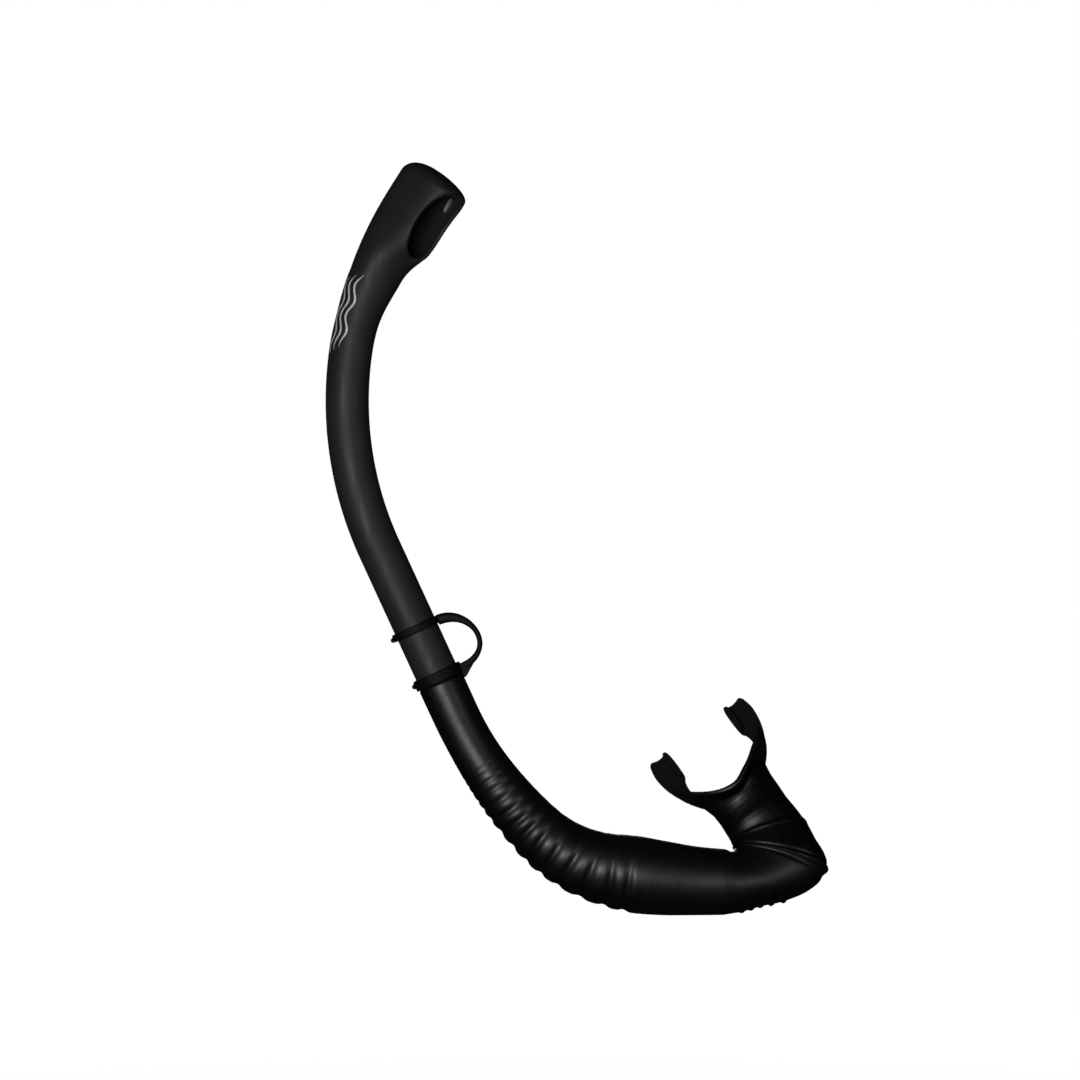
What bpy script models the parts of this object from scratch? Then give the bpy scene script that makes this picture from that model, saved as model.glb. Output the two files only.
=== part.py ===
"""J-type snorkel tube for diving: a rigid curved barrel with a scoop top, a soft strap keeper,
a corrugated soft hose sleeved over the barrel's lower end, and a soft mouthpiece on the hose's port.

Frame: metres, +Z up, the J lies in the X-Z plane, and the front of the snorkel faces -Y.
The origin is on the barrel's axis, midway along the keeper, where a mask strap holds the snorkel.
"""

import math

import bmesh
import bpy
from mathutils import Vector

MM = 0.001
SIDES = 24
GAP = 0.3 * MM
TOWARD_FRONT = Vector((0, -1, 0))

# Barrel: a round plastic tube, straight through the keeper, then two easy bends and the scoop.
BARREL_RADIUS = 12.1 * MM
BORE_RADIUS = 10.0 * MM
BARREL_HEADING = math.radians(114.7)
STRAIGHT_ABOVE = 61.9 * MM
SPIGOT_RADIUS = 11.1 * MM
SHOULDER_BELOW = 19.2 * MM
SPIGOT_END_BELOW = 52.0 * MM
BARREL_BENDS = (
    (STRAIGHT_ABOVE + SPIGOT_END_BELOW, 0.0),
    (112.9 * MM, math.radians(-32.7)),
    (42.2 * MM, math.radians(-19.5)),
)
BARREL_WALL = 2.0 * MM

# Scoop: the barrel's top, swelling towards its opening, which is turned towards the front.
SCOOP_START = sum(length for length, turn in BARREL_BENDS)
SCOOP_TURN = math.radians(40)
SWELL_BEFORE = 28.0 * MM
SWELL_RUN = 30.0 * MM
SIDE_SWELL_RUN = 40.0 * MM
SCOOP_BACK_SWELL = 2.1 * MM
SCOOP_FRONT_SWELL = 1.2 * MM
SCOOP_BACK_CROWN = 3.4 * MM
SCOOP_SIDE_SWELL = 3.4 * MM
SCOOP_FLARE = 9.5 * MM
FLARE_START = 6.5 * MM
FLARE_RUN = 21.0 * MM
SCOOP_LEAN = 5.5 * MM
LEAN_BEGIN = 20.0 * MM
LEAN_RUN = 40.0 * MM
SCOOP_SHOULDER = 60.5 * MM
SCOOP_HEIGHT = 70.6 * MM
CROWN_TILT = 0.13
CROWN_POWER = 2.2
SCOOP_MIDDLE = 5.0 * MM
MOUTH_WAIST = 36.0 * MM
MOUTH_WAIST_DEPTH = 17.3 * MM
MOUTH_LOW = 15.0 * MM
MOUTH_HIGH = 66.0 * MM
RIM_POWER = 2.2
RIM_BELOW = (17.0 * MM, 5.0 * MM)
RIM_ABOVE = (26.0 * MM, 10.0 * MM)
CUTTER_REACH = 48.0 * MM
CUTTER_HALF_WIDTH = 24.0 * MM
RIB_PLACE = (13.0 * MM, -12.0 * MM, 56.0 * MM)

# Hose: one soft moulding, made of a cuff, the corrugated links and the elbow.
HOSE_TOP_BELOW = 19.5 * MM
CUFF_RADIUS = 11.5 * MM
CUFF_BORE_END = 52.5 * MM
HOSE_WALL = 2.2 * MM
HOSE_BENDS = (
    (38.0 * MM, 0.0),
    (81.3 * MM, math.radians(20.1)),
    (48.1 * MM, math.radians(34.7)),
    (69.2 * MM, math.radians(10.5)),
)
HOSE_RADII = (
    (0.0195, 0.0131),
    (0.060, 0.0132),
    (0.096, 0.0151),
    (0.128, 0.0172),
    (0.160, 0.0200),
    (0.178, 0.0215),
    (0.196, 0.0207),
    (0.214, 0.0192),
    (0.236, 0.0181),
)
LINK_COUNT = 5
LINK_LENGTH = 18.0 * MM
FIRST_HINGE = 78.0 * MM
LINK_GAP = 0.4 * MM
LINK_STATIONS = 7
FOLD_PITCH = 9.0 * MM
FOLD_HEIGHT = 0.7 * MM

# Elbow: its rings fan out round a pivot line along Y, just outside the inner corner.
PIVOT = Vector((168.5 * MM, 0, -109.4 * MM))
ELBOW_START = 230.0 * MM
FAN_OUTER = (
    (-90, 0.0374),
    (-62, 0.0384),
    (-42.5, 0.0452),
    (-28.5, 0.0523),
    (-20, 0.0562),
    (-13, 0.0576),
    (-6, 0.0549),
    (4, 0.0494),
    (24, 0.0447),
    (36.87, 0.0430),
)
FAN_INNER = ((-90, 0.0020), (-35, 0.0046), (0, 0.0030), (36.87, 0.0021))
FAN_DEPTH = ((-90, 0.0178), (-50, 0.0165), (-13, 0.0150), (17, 0.0125), (36.87, 0.0117))
NECK_ANGLE = 36.87
MITRE_ANGLE = -13.0
CUFF_ANGLE = 17.0
LEAN_START = -80.0
LEAN = math.radians(25)
DRIFT = 14.0 * MM
PORT_WALL = 1.9 * MM
GRIP_RIBS = 5
GRIP_PITCH = 5.6 * MM
GRIP_LENGTH = 22.0 * MM
GRIP_START = -81.0
GRIP_RADIUS = 38.0 * MM

# Mouthpiece, in its own frame: w across, a towards the mouth, v towards the front.
MOUTH_CENTRE = 23.8 * MM
NECK_CENTRE = 22.3 * MM
NECK_RINGS = ((2, 20.2, 11.7), (8, 19.6, 11.5), (14, 19.6, 11.6), (19, 20.6, 12.6))
NECK_HALF = 19.8 * MM
NECK_HALF_DEPTH = 11.6 * MM
MOUTH_WALL = 4.4 * MM
CUFF_WALL = 2.0 * MM
FLANGE_HALF_WIDTH = 31.0 * MM
FLANGE_HALF_HEIGHT = 19.0 * MM
FLANGE_BASE = 21.4 * MM
FLANGE_CURVE = 25.0
FLANGE_THICKNESS = 5.0 * MM
BITE_THICKNESS = 4.0 * MM
BITE_LUG_HEIGHT = 12.0 * MM
BITE_OUTLINE = (
    (22.6, 31.0),
    (22.3, 44.0),
    (19.8, 48.0),
    (19.3, 60.0),
    (20.5, 66.0),
    (25.8, 64.3),
    (32.3, 66.5),
    (34.4, 57.0),
    (33.2, 48.0),
    (31.0, 41.0),
    (27.6, 35.0),
    (25.5, 32.0),
)
LUG_OUTLINE = ((19.8, 48.0), (19.3, 60.0), (20.5, 65.5), (23.6, 64.3), (23.2, 47.5))

# Keeper: two soft rings round the barrel, and the loop that the mask strap passes through.
KEEPER_BORE = 12.45 * MM
KEEPER_OUTER = 14.2 * MM
KEEPER_BAND = 4.4 * MM
KEEPER_RINGS = (13.1 * MM, -15.4 * MM)
LOOP_CURVE = ((11.6, 12.8), (33.0, 12.4), (38.8, -17.8), (12.6, -17.0))
LOOP_WIDTH = 12.0 * MM
LOOP_STEPS = 22
FOOT_OUTLINE = (
    (12.6, -14.0),
    (20.5, -14.6),
    (18.5, -17.0),
    (14.0, -22.4),
    (13.5, -22.4),
    (13.5, -19.1),
    (12.6, -19.1),
)
FOOT_WIDTH = 8.6 * MM


def clear_scene():
    for item in list(bpy.data.objects):
        bpy.data.objects.remove(item, do_unlink=True)


def plastic(name, colour, roughness):
    material = bpy.data.materials.new(name)
    material.use_nodes = True
    shader = material.node_tree.nodes["Principled BSDF"]
    shader.inputs["Base Color"].default_value = (*colour, 1.0)
    shader.inputs["Roughness"].default_value = roughness
    shader.inputs["Metallic"].default_value = 0.0
    return material


def smooth(value):
    value = min(1.0, max(0.0, value))
    return value * value * (3 - 2 * value)


def between(knots, place):
    """The value at a place along a list of (place, value) knots, eased from knot to knot."""
    if place <= knots[0][0]:
        return knots[0][1]
    for index in range(1, len(knots)):
        start, first = knots[index - 1]
        end, last = knots[index]
        if place <= end:
            before = knots[max(index - 2, 0)]
            after = knots[min(index + 1, len(knots) - 1)]
            slope_in = (last - before[1]) / (end - before[0])
            slope_out = (after[1] - first) / (after[0] - start)
            run = end - start
            u = (place - start) / run
            return (
                first * (2 * u**3 - 3 * u**2 + 1)
                + slope_in * run * (u**3 - 2 * u**2 + u)
                + last * (3 * u**2 - 2 * u**3)
                + slope_out * run * (u**3 - u**2)
            )
    return knots[-1][1]


def walk(start, heading, bends, distance):
    """The point and heading at a distance along straight and round stretches in the X-Z plane."""
    x, z = start.x, start.z
    for length, turn in bends:
        step = min(distance, length)
        if turn == 0:
            x += math.cos(heading) * step
            z += math.sin(heading) * step
        else:
            radius = length / turn
            swept = step / radius
            x += radius * (math.sin(heading + swept) - math.sin(heading))
            z += radius * (math.cos(heading) - math.cos(heading + swept))
            heading += swept
        distance -= step
        if distance <= 0:
            break
    if distance > 0:
        x += math.cos(heading) * distance
        z += math.sin(heading) * distance
    return Vector((x, 0, z)), heading


def along(heading):
    return Vector((math.cos(heading), 0, math.sin(heading)))


def barrel_point(distance):
    """The barrel's axis at a distance from its lower end, with its sideways direction."""
    start = along(BARREL_HEADING) * -SPIGOT_END_BELOW
    point, heading = walk(start, BARREL_HEADING, BARREL_BENDS, distance)
    return point, along(heading), along(heading - math.pi / 2)


def hose_point(distance):
    """The hose's axis at a distance below the origin, with the direction of its inner side."""
    point, heading = walk(Vector(), BARREL_HEADING - math.pi, HOSE_BENDS, distance)
    return point, along(heading), along(heading + math.pi / 2)


def oval(centre, across, deep, half_across, half_deep):
    ring = []
    for side in range(SIDES):
        turn = 2 * math.pi * side / SIDES
        ring.append(
            centre
            + across * (half_across * math.cos(turn))
            + deep * (half_deep * math.sin(turn))
        )
    return ring


def finish(mesh, name, material):
    """Makes the object of a bmesh, with its faces outward and its shading smooth."""
    bmesh.ops.recalc_face_normals(mesh, faces=mesh.faces)
    data = bpy.data.meshes.new(name)
    mesh.to_mesh(data)
    mesh.free()
    data.materials.append(material)
    data.shade_smooth()
    data.set_sharp_from_angle(angle=math.radians(40))
    made = bpy.data.objects.new(name, data)
    bpy.context.scene.collection.objects.link(made)
    return made


def skin(mesh, rings, closed=False):
    """Joins each ring of points to the next by faces, and the last to the first if closed."""
    rows = [[mesh.verts.new(point) for point in ring] for ring in rings]
    pairs = list(zip(rows, rows[1:]))
    if closed:
        pairs.append((rows[-1], rows[0]))
    for low, high in pairs:
        for side in range(len(low)):
            after = (side + 1) % len(low)
            mesh.faces.new((low[side], low[after], high[after], high[side]))
    return rows


def cap(mesh, row, tip):
    point = mesh.verts.new(tip)
    for side in range(len(row)):
        mesh.faces.new((row[side], row[(side + 1) % len(row)], point))


def tube(name, outer, inner, material):
    """A hollow tube from its outer rings and its inner rings, both listed from the same end."""
    mesh = bmesh.new()
    skin(mesh, list(outer) + list(reversed(inner)), closed=True)
    return finish(mesh, name, material)


def plug(name, rings, material):
    """A solid from rings of points, with a flat fan of faces at each end."""
    mesh = bmesh.new()
    rows = skin(mesh, rings)
    for row, ring in ((rows[0], rings[0]), (rows[-1], rings[-1])):
        cap(mesh, row, sum(ring, Vector()) / len(ring))
    return finish(mesh, name, material)


def prism(name, outline, place, low, high, material):
    """A solid with an outline of (w, a) points, reaching from low to high across it."""
    mesh = bmesh.new()
    floor = [mesh.verts.new(place(w, a, low)) for w, a in outline]
    top = [mesh.verts.new(place(w, a, high)) for w, a in outline]
    mesh.faces.new(floor)
    mesh.faces.new(top)
    for index in range(len(outline)):
        after = (index + 1) % len(outline)
        mesh.faces.new((floor[index], floor[after], top[after], top[index]))
    return finish(mesh, name, material)


def combine(base, other, operation):
    """Applies another object to the base with a Boolean, and hides it as a guide."""
    other.hide_render = True
    other.hide_viewport = False
    other.display_type = "WIRE"
    cut = base.modifiers.new(other.name, "BOOLEAN")
    cut.operation = operation
    cut.object = other
    cut.solver = "EXACT"


# ---------------------------------------------------------------------------- barrel


def scoop_frame(distance):
    point, forward, side = barrel_point(distance)
    facing = side * math.cos(SCOOP_TURN) + TOWARD_FRONT * math.sin(SCOOP_TURN)
    across = TOWARD_FRONT * math.cos(SCOOP_TURN) - side * math.sin(SCOOP_TURN)
    return point, forward, facing, across


def scoop_sizes(rise):
    """How far the section reaches back, to each side and towards the opening, at a rise."""
    swelling = smooth((rise + SWELL_BEFORE) / SWELL_RUN)
    back = BARREL_RADIUS + SCOOP_BACK_SWELL * swelling
    if 0 < rise < SCOOP_SHOULDER:
        back += SCOOP_BACK_CROWN * math.sin(math.pi * rise / SCOOP_SHOULDER)
    side = BARREL_RADIUS + SCOOP_SIDE_SWELL * smooth((rise + SWELL_BEFORE) / SIDE_SWELL_RUN)
    flare = smooth((rise - FLARE_START) / FLARE_RUN)
    front = BARREL_RADIUS + SCOOP_FRONT_SWELL * swelling + SCOOP_FLARE * flare
    front += SCOOP_LEAN * smooth((rise - LEAN_BEGIN) / LEAN_RUN)
    return back, side, front, flare


def barrel_ring(distance, inset, lowered=0.0):
    """One ring of the barrel or the scoop, drawn in from the outer face by the inset."""
    rise = distance - SCOOP_START
    point, forward, facing, across = scoop_frame(distance)
    back, side, front, flare = scoop_sizes(rise)
    crown = SCOOP_HEIGHT - lowered - SCOOP_SHOULDER
    climb = min(1.0, max(0.0, (rise - SCOOP_SHOULDER) / crown))
    shrink = (1 - climb**CROWN_POWER) ** (1 / CROWN_POWER)
    power = 2 / (2 + flare)
    ring = []
    for index in range(SIDES):
        turn = 2 * math.pi * index / SIDES
        c = math.cos(turn)
        s = math.sin(turn)
        if c > 0:
            reach = (front - inset) * c**power
            width = (side - inset) * math.copysign(abs(s) ** power, s)
        else:
            reach = (back - inset) * c
            width = (side - inset) * s
        reach = SCOOP_MIDDLE * (1 - shrink) + reach * shrink
        tilted = forward * (CROWN_TILT * climb * (SCOOP_MIDDLE - reach))
        ring.append(point + facing * reach + across * (width * shrink) + tilted)
    return ring


def barrel_stations(top):
    arc_one = BARREL_BENDS[0][0]
    arc_two = arc_one + BARREL_BENDS[1][0]
    places = [arc_one + BARREL_BENDS[1][0] * step / 8 for step in range(8)]
    places += [arc_two + BARREL_BENDS[2][0] * step / 4 for step in range(4)]
    rises = (0, 4, 8, 12, 16, 20, 26, 34, 42, 50, 57, 62)
    places += [SCOOP_START + rise * MM for rise in rises]
    crown = top - SCOOP_SHOULDER
    for climb in (0.3, 0.55, 0.75, 0.9):
        places.append(SCOOP_START + SCOOP_SHOULDER + crown * climb)
    return places


def mouth_depth(rise):
    """How far from the axis the opening's rim lies, least at its waist."""
    away = rise - MOUTH_WAIST
    run, depth = RIM_BELOW if away < 0 else RIM_ABOVE
    return MOUTH_WAIST_DEPTH + depth * (abs(away) / run) ** RIM_POWER


def mouth_cutter(material):
    def place(reach, rise, width):
        point, forward, facing, across = scoop_frame(SCOOP_START)
        return point + forward * rise + facing * reach + across * width

    steps = 14
    rises = [MOUTH_LOW + (MOUTH_HIGH - MOUTH_LOW) * step / steps for step in range(steps + 1)]
    outline = [(mouth_depth(rise), rise) for rise in rises]
    outline += [(CUTTER_REACH, rises[-1]), (CUTTER_REACH, rises[0])]
    return prism("mouth_cutter", outline, place, -CUTTER_HALF_WIDTH, CUTTER_HALF_WIDTH, material)


def make_barrel(material):
    shoulder = SPIGOT_END_BELOW - SHOULDER_BELOW
    mesh = bmesh.new()

    def round_ring(distance, radius):
        point, forward, facing, across = scoop_frame(distance)
        return oval(point, facing, across, radius, radius)

    outer = [round_ring(0, SPIGOT_RADIUS), round_ring(shoulder, SPIGOT_RADIUS)]
    outer.append(round_ring(shoulder, BARREL_RADIUS))
    outer += [barrel_ring(place, 0.0) for place in barrel_stations(SCOOP_HEIGHT)]
    inner = [round_ring(0, BORE_RADIUS)]
    roof = SCOOP_HEIGHT - BARREL_WALL
    for place in barrel_stations(roof):
        inset = max(BARREL_WALL, BARREL_RADIUS - BORE_RADIUS)
        inner.append(barrel_ring(place, inset, BARREL_WALL))
    rows = skin(mesh, list(reversed(inner)) + outer)
    for row, height in ((rows[0], roof), (rows[-1], SCOOP_HEIGHT)):
        point, forward, facing, across = scoop_frame(SCOOP_START + height)
        cap(mesh, row, point + facing * SCOOP_MIDDLE)
    barrel = finish(mesh, "barrel", material)
    combine(barrel, mouth_cutter(material), "DIFFERENCE")
    combine(barrel, drain_rib(material), "UNION")
    return barrel


def drain_rib(material):
    """The short upright rib moulded on the scoop's inner wall."""
    reach, width, rise = RIB_PLACE
    point, forward, facing, across = scoop_frame(SCOOP_START)
    centre = point + facing * reach + across * width + forward * rise
    rings = []
    for offset, radius in ((-4.2, 0.5), (-3.4, 1.1), (3.4, 1.1), (4.2, 0.5)):
        middle = centre + forward * (offset * MM)
        rings.append(oval(middle, facing, across, radius * MM, radius * 1.6 * MM))
    return plug("drain_rib", rings, material)


# ---------------------------------------------------------------------------- keeper


def keeper_place(n, u, y):
    up = along(BARREL_HEADING)
    side = along(BARREL_HEADING - math.pi / 2)
    return side * n + up * u + Vector((0, y, 0))


def keeper_ring(name, height, material):
    """A soft band round the barrel, with its two outer edges rounded."""
    up = along(BARREL_HEADING)
    side = along(BARREL_HEADING - math.pi / 2)
    half = KEEPER_BAND / 2
    core = KEEPER_BORE - 2 * MM
    profile = (
        (core, -half),
        (KEEPER_OUTER - 0.8 * MM, -half),
        (KEEPER_OUTER, -half + 0.9 * MM),
        (KEEPER_OUTER, half - 0.9 * MM),
        (KEEPER_OUTER - 0.8 * MM, half),
        (core, half),
    )
    deep = Vector((0, 1, 0))
    rings = [oval(up * (height + rise), side, deep, radius, radius) for radius, rise in profile]
    mesh = bmesh.new()
    skin(mesh, rings, closed=True)
    return finish(mesh, name, material)


def loop_point(t):
    """The middle of the strap loop, on one cubic curve from ring to ring."""
    weights = ((1 - t) ** 3, 3 * t * (1 - t) ** 2, 3 * t * t * (1 - t), t**3)
    n = sum(weight * point[0] for weight, point in zip(weights, LOOP_CURVE))
    u = sum(weight * point[1] for weight, point in zip(weights, LOOP_CURVE))
    return Vector((n * MM, u * MM))


def keeper_loop(material):
    rings = []
    for step in range(LOOP_STEPS + 1):
        t = step / LOOP_STEPS
        middle = loop_point(t)
        slope = (loop_point(min(t + 0.01, 1)) - loop_point(max(t - 0.01, 0))).normalized()
        normal = Vector((-slope.y, slope.x))
        thickness = (2.3 + 2.7 * (1 - smooth(t / 0.5)) + 1.2 * smooth((t - 0.7) / 0.3)) * MM
        half = LOOP_WIDTH / 2 * (0.72 + 0.28 * math.sin(math.pi * t))
        edge = 0.35 * thickness
        corners = (
            (-0.5 * thickness, -half + edge),
            (-0.5 * thickness + edge, -half),
            (0.5 * thickness - edge, -half),
            (0.5 * thickness, -half + edge),
            (0.5 * thickness, half - edge),
            (0.5 * thickness - edge, half),
            (-0.5 * thickness + edge, half),
            (-0.5 * thickness, half - edge),
        )
        ring = []
        for offset, y in corners:
            spot = middle + normal * offset
            ring.append(keeper_place(spot.x, spot.y, y))
        rings.append(ring)
    return plug("keeper_loop", rings, material)


def keeper_foot(material):
    """The web that carries the loop's lower end past the lower ring."""
    outline = [(n * MM, u * MM) for n, u in FOOT_OUTLINE]
    return prism("keeper_foot", outline, keeper_place, -FOOT_WIDTH / 2, FOOT_WIDTH / 2, material)


def keeper_tab(name, height, material):
    """The rounded pull tab on the far side of a ring."""
    rings = []
    for reach, radius in ((12.9, 1.3), (14.3, 1.2), (14.8, 1.3), (15.4, 1.0), (15.7, 0.5)):
        centre = keeper_place(-reach * MM, height, 0)
        deep = Vector((0, 1, 0))
        rings.append(oval(centre, along(BARREL_HEADING), deep, radius * MM, radius * 1.8 * MM))
    return plug(name, rings, material)


def make_keeper(material):
    keeper = keeper_ring("keeper", KEEPER_RINGS[0], material)
    combine(keeper, keeper_ring("lower_ring", KEEPER_RINGS[1], material), "UNION")
    combine(keeper, keeper_loop(material), "UNION")
    combine(keeper, keeper_foot(material), "UNION")
    for index, height in enumerate(KEEPER_RINGS):
        tab = keeper_tab(f"tab_{index}", height - 0.6 * MM, material)
        combine(keeper, tab, "UNION")
    up = along(BARREL_HEADING)
    side = along(BARREL_HEADING - math.pi / 2)
    deep = Vector((0, 1, 0))
    ends = (-0.03, 0.03)
    bore = [oval(up * end, side, deep, KEEPER_BORE, KEEPER_BORE) for end in ends]
    combine(keeper, plug("keeper_bore", bore, material), "DIFFERENCE")
    return keeper


# ---------------------------------------------------------------------------- hose


def hose_ring(distance, inset=0.0, raised=0.0):
    point, forward, inner_side = hose_point(distance)
    radius = between(HOSE_RADII, distance) + raised - inset
    return oval(point, inner_side, Vector((0, 1, 0)), radius, radius)


def straight_ring(distance, radius):
    point = along(BARREL_HEADING) * -distance
    side = along(BARREL_HEADING - math.pi / 2)
    return oval(point, side, Vector((0, 1, 0)), radius, radius)


def make_hose_cuff(material):
    """The sleeve over the barrel's spigot, and the plain stretch below it."""
    end = FIRST_HINGE - LINK_GAP / 2
    places = [HOSE_TOP_BELOW + (end - HOSE_TOP_BELOW) * step / 7 for step in range(8)]
    outer = [hose_ring(place) for place in places]
    inner = [straight_ring(HOSE_TOP_BELOW, CUFF_RADIUS)]
    inner.append(straight_ring(CUFF_BORE_END, CUFF_RADIUS))
    for place in (CUFF_BORE_END + 1 * MM, 0.5 * (CUFF_BORE_END + end), end):
        inner.append(hose_ring(place, HOSE_WALL))
    return tube("hose_cuff", outer, inner, material)


def make_hose_link(index, material):
    """One link of the corrugated stretch, two folds long."""
    start = FIRST_HINGE + index * LINK_LENGTH + LINK_GAP / 2
    end = start + LINK_LENGTH - LINK_GAP
    outer = []
    inner = []
    for step in range(LINK_STATIONS):
        place = start + (end - start) * step / (LINK_STATIONS - 1)
        phase = 2 * math.pi * (place - FIRST_HINGE) / FOLD_PITCH
        raised = -FOLD_HEIGHT * (0.5 + 0.5 * math.cos(phase))
        outer.append(hose_ring(place, 0.0, raised))
        inner.append(hose_ring(place, HOSE_WALL, raised))
    return tube(f"hose_fold_{index + 1}", outer, inner, material)


def fan_direction(angle):
    turn = math.radians(angle)
    return Vector((math.cos(turn), 0, math.sin(turn)))


def fan_lean(angle):
    return LEAN * smooth((angle - LEAN_START) / (MITRE_ANGLE - LEAN_START))


def fan_drift(angle):
    return DRIFT * smooth((angle + 90) / (NECK_ANGLE + 90))


def fan_ring(angle, inset=0.0):
    """A ring of the elbow at a fan angle, leaning away from the front as the port does."""
    outward = fan_direction(angle)
    forward = fan_direction(angle + 90)
    lean = fan_lean(angle)
    near = between(FAN_INNER, angle) + inset
    far = between(FAN_OUTER, angle) - inset
    deep = Vector((0, 1, 0)) * math.cos(lean) - forward * math.sin(lean)
    centre = PIVOT + outward * ((near + far) / 2) + Vector((0, fan_drift(angle), 0))
    half = (far - near) / 2
    return oval(centre, -outward, deep, half, between(FAN_DEPTH, angle) - inset)


def grip_rib(index, material):
    """A low moulded rib across the elbow's underside."""
    angle = GRIP_START + index * math.degrees(GRIP_PITCH / GRIP_RADIUS)
    reach = between(FAN_OUTER, angle)
    middle = PIVOT + fan_direction(angle) * (reach - 0.6 * MM)
    middle.y = fan_drift(angle)
    rings = []
    for end, radius in ((-1.0, 0.6), (-0.85, 1.4), (-0.4, 1.4), (0.4, 1.4), (0.85, 1.4), (1.0, 0.6)):
        centre = middle + Vector((0, end * GRIP_LENGTH / 2, 0))
        drop = fan_direction(angle) * (-2.6 * MM * end * end)
        rings.append(
            oval(
                centre + drop,
                fan_direction(angle),
                fan_direction(angle + 90),
                radius * MM,
                radius * MM,
            )[:: 3]
        )
    return plug(f"grip_rib_{index}", rings, material)


def make_hose_elbow(material):
    """The smooth lower stretch, the tight turn upward and the port that the mouthpiece fits."""
    start = FIRST_HINGE + LINK_COUNT * LINK_LENGTH + LINK_GAP / 2
    places = [start + (ELBOW_START - start) * step / 6 for step in range(7)]
    angles = (-84, -72, -60, -50, -40, -31, -24, -18)
    outer = [hose_ring(place) for place in places]
    outer += [fan_ring(angle) for angle in angles]
    outer.append(fan_ring(MITRE_ANGLE))
    port_inset = CUFF_WALL + GAP
    port_end = CUFF_ANGLE - 1.5
    port_angles = (MITRE_ANGLE + 0.2, -6, 4, port_end)
    outer += [fan_ring(angle, port_inset) for angle in port_angles]
    inner = [hose_ring(place, HOSE_WALL) for place in places]
    inner += [fan_ring(angle, HOSE_WALL) for angle in angles[:-2]]
    inset = port_inset + PORT_WALL
    inner += [fan_ring(angle, inset) for angle in (-20, *port_angles)]
    elbow = tube("hose_elbow", outer, inner, material)
    for index in range(GRIP_RIBS):
        combine(elbow, grip_rib(index, material), "UNION")
    return elbow


def make_port_insert(material):
    """The stiff oval ring inside the port, which the mouthpiece's cuff grips against."""
    inset = CUFF_WALL + GAP + PORT_WALL + 1.5 * GAP
    angles = (-6, 4, CUFF_ANGLE - 1.5)
    outer = [fan_ring(angle, inset) for angle in angles]
    inner = [fan_ring(angle, inset + 1.5 * MM) for angle in angles]
    return tube("port_insert", outer, inner, material)


# ---------------------------------------------------------------------------- mouthpiece


def mouth_place(w, a, v):
    """A point of the mouthpiece: w across it, a towards the mouth, v towards the front."""
    forward = fan_direction(NECK_ANGLE + 90)
    away = Vector((0, 1, 0))
    lengthwise = forward * math.cos(LEAN) + away * math.sin(LEAN)
    front = forward * math.sin(LEAN) - away * math.cos(LEAN)
    origin = PIVOT + away * DRIFT
    return origin + fan_direction(NECK_ANGLE) * w + lengthwise * a + front * v


def neck_ring(a, half_across, half_deep, centre=NECK_CENTRE):
    ring = []
    for side in range(SIDES):
        turn = 2 * math.pi * side / SIDES
        w = centre - half_across * math.cos(turn)
        ring.append(mouth_place(w, a, -half_deep * math.sin(turn)))
    return ring


def flange_sheet(offset):
    """Rings of the lip shield, from its rim to near its middle, on a curve round the teeth."""
    rings = []
    for share in (1.0, 0.82, 0.6, 0.35):
        ring = []
        for side in range(SIDES * 2):
            turn = 2 * math.pi * side / (SIDES * 2)
            c = math.cos(turn)
            s = math.sin(turn)
            w = FLANGE_HALF_WIDTH * share * math.copysign(abs(c) ** 0.8, c)
            v = FLANGE_HALF_HEIGHT * share * math.copysign(abs(s) ** 0.8, s)
            a = FLANGE_BASE + FLANGE_CURVE * w * w + offset
            ring.append(mouth_place(MOUTH_CENTRE + w, a, v))
        rings.append(ring)
    return rings


def make_flange(material):
    mesh = bmesh.new()
    outer = flange_sheet(-FLANGE_THICKNESS)
    inner = flange_sheet(0.0)
    rows = skin(mesh, list(reversed(outer)) + inner)
    for row, offset in ((rows[0], -FLANGE_THICKNESS), (rows[-1], 0.0)):
        cap(mesh, row, mouth_place(MOUTH_CENTRE, FLANGE_BASE + offset, 0))
    return finish(mesh, "flange", material)


def make_mouthpiece(material):
    """The soft cuff and neck, the lip shield, and the two bite tabs with their lugs."""
    cuff_angles = (MITRE_ANGLE + 0.5, -6, 4, 14, 24, 32)
    rings = [fan_ring(angle) for angle in cuff_angles]
    for a, half_across, half_deep in NECK_RINGS:
        rings.append(neck_ring(a * MM, half_across * MM, half_deep * MM))
    mouthpiece = plug("mouthpiece", rings, material)
    combine(mouthpiece, make_flange(material), "UNION")
    for label, sign in (("left", -1), ("right", 1)):

        def place(w, a, v, sign=sign):
            return mouth_place(MOUTH_CENTRE + sign * w, a, v)

        tab = [(w * MM, a * MM) for w, a in BITE_OUTLINE]
        lug = [(w * MM, a * MM) for w, a in LUG_OUTLINE]
        half = BITE_THICKNESS / 2
        lug_half = BITE_LUG_HEIGHT / 2
        tab_solid = prism(f"bite_tab_{label}", tab, place, -half, half, material)
        combine(mouthpiece, tab_solid, "UNION")
        lug_solid = prism(f"bite_lug_{label}", lug, place, -lug_half, lug_half, material)
        combine(mouthpiece, lug_solid, "UNION")
    bore_angles = (-17, MITRE_ANGLE + 0.2, -6, 4, CUFF_ANGLE - 1.5, CUFF_ANGLE)
    bore = [fan_ring(angle, CUFF_WALL) for angle in bore_angles]
    bore += [fan_ring(angle, MOUTH_WALL) for angle in (CUFF_ANGLE + 0.3, 26)]
    for a in (2 * MM, 14 * MM, 30 * MM):
        bore.append(neck_ring(a, NECK_HALF - MOUTH_WALL, NECK_HALF_DEPTH - MOUTH_WALL))
    combine(mouthpiece, plug("mouth_bore", bore, material), "DIFFERENCE")
    return mouthpiece


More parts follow.
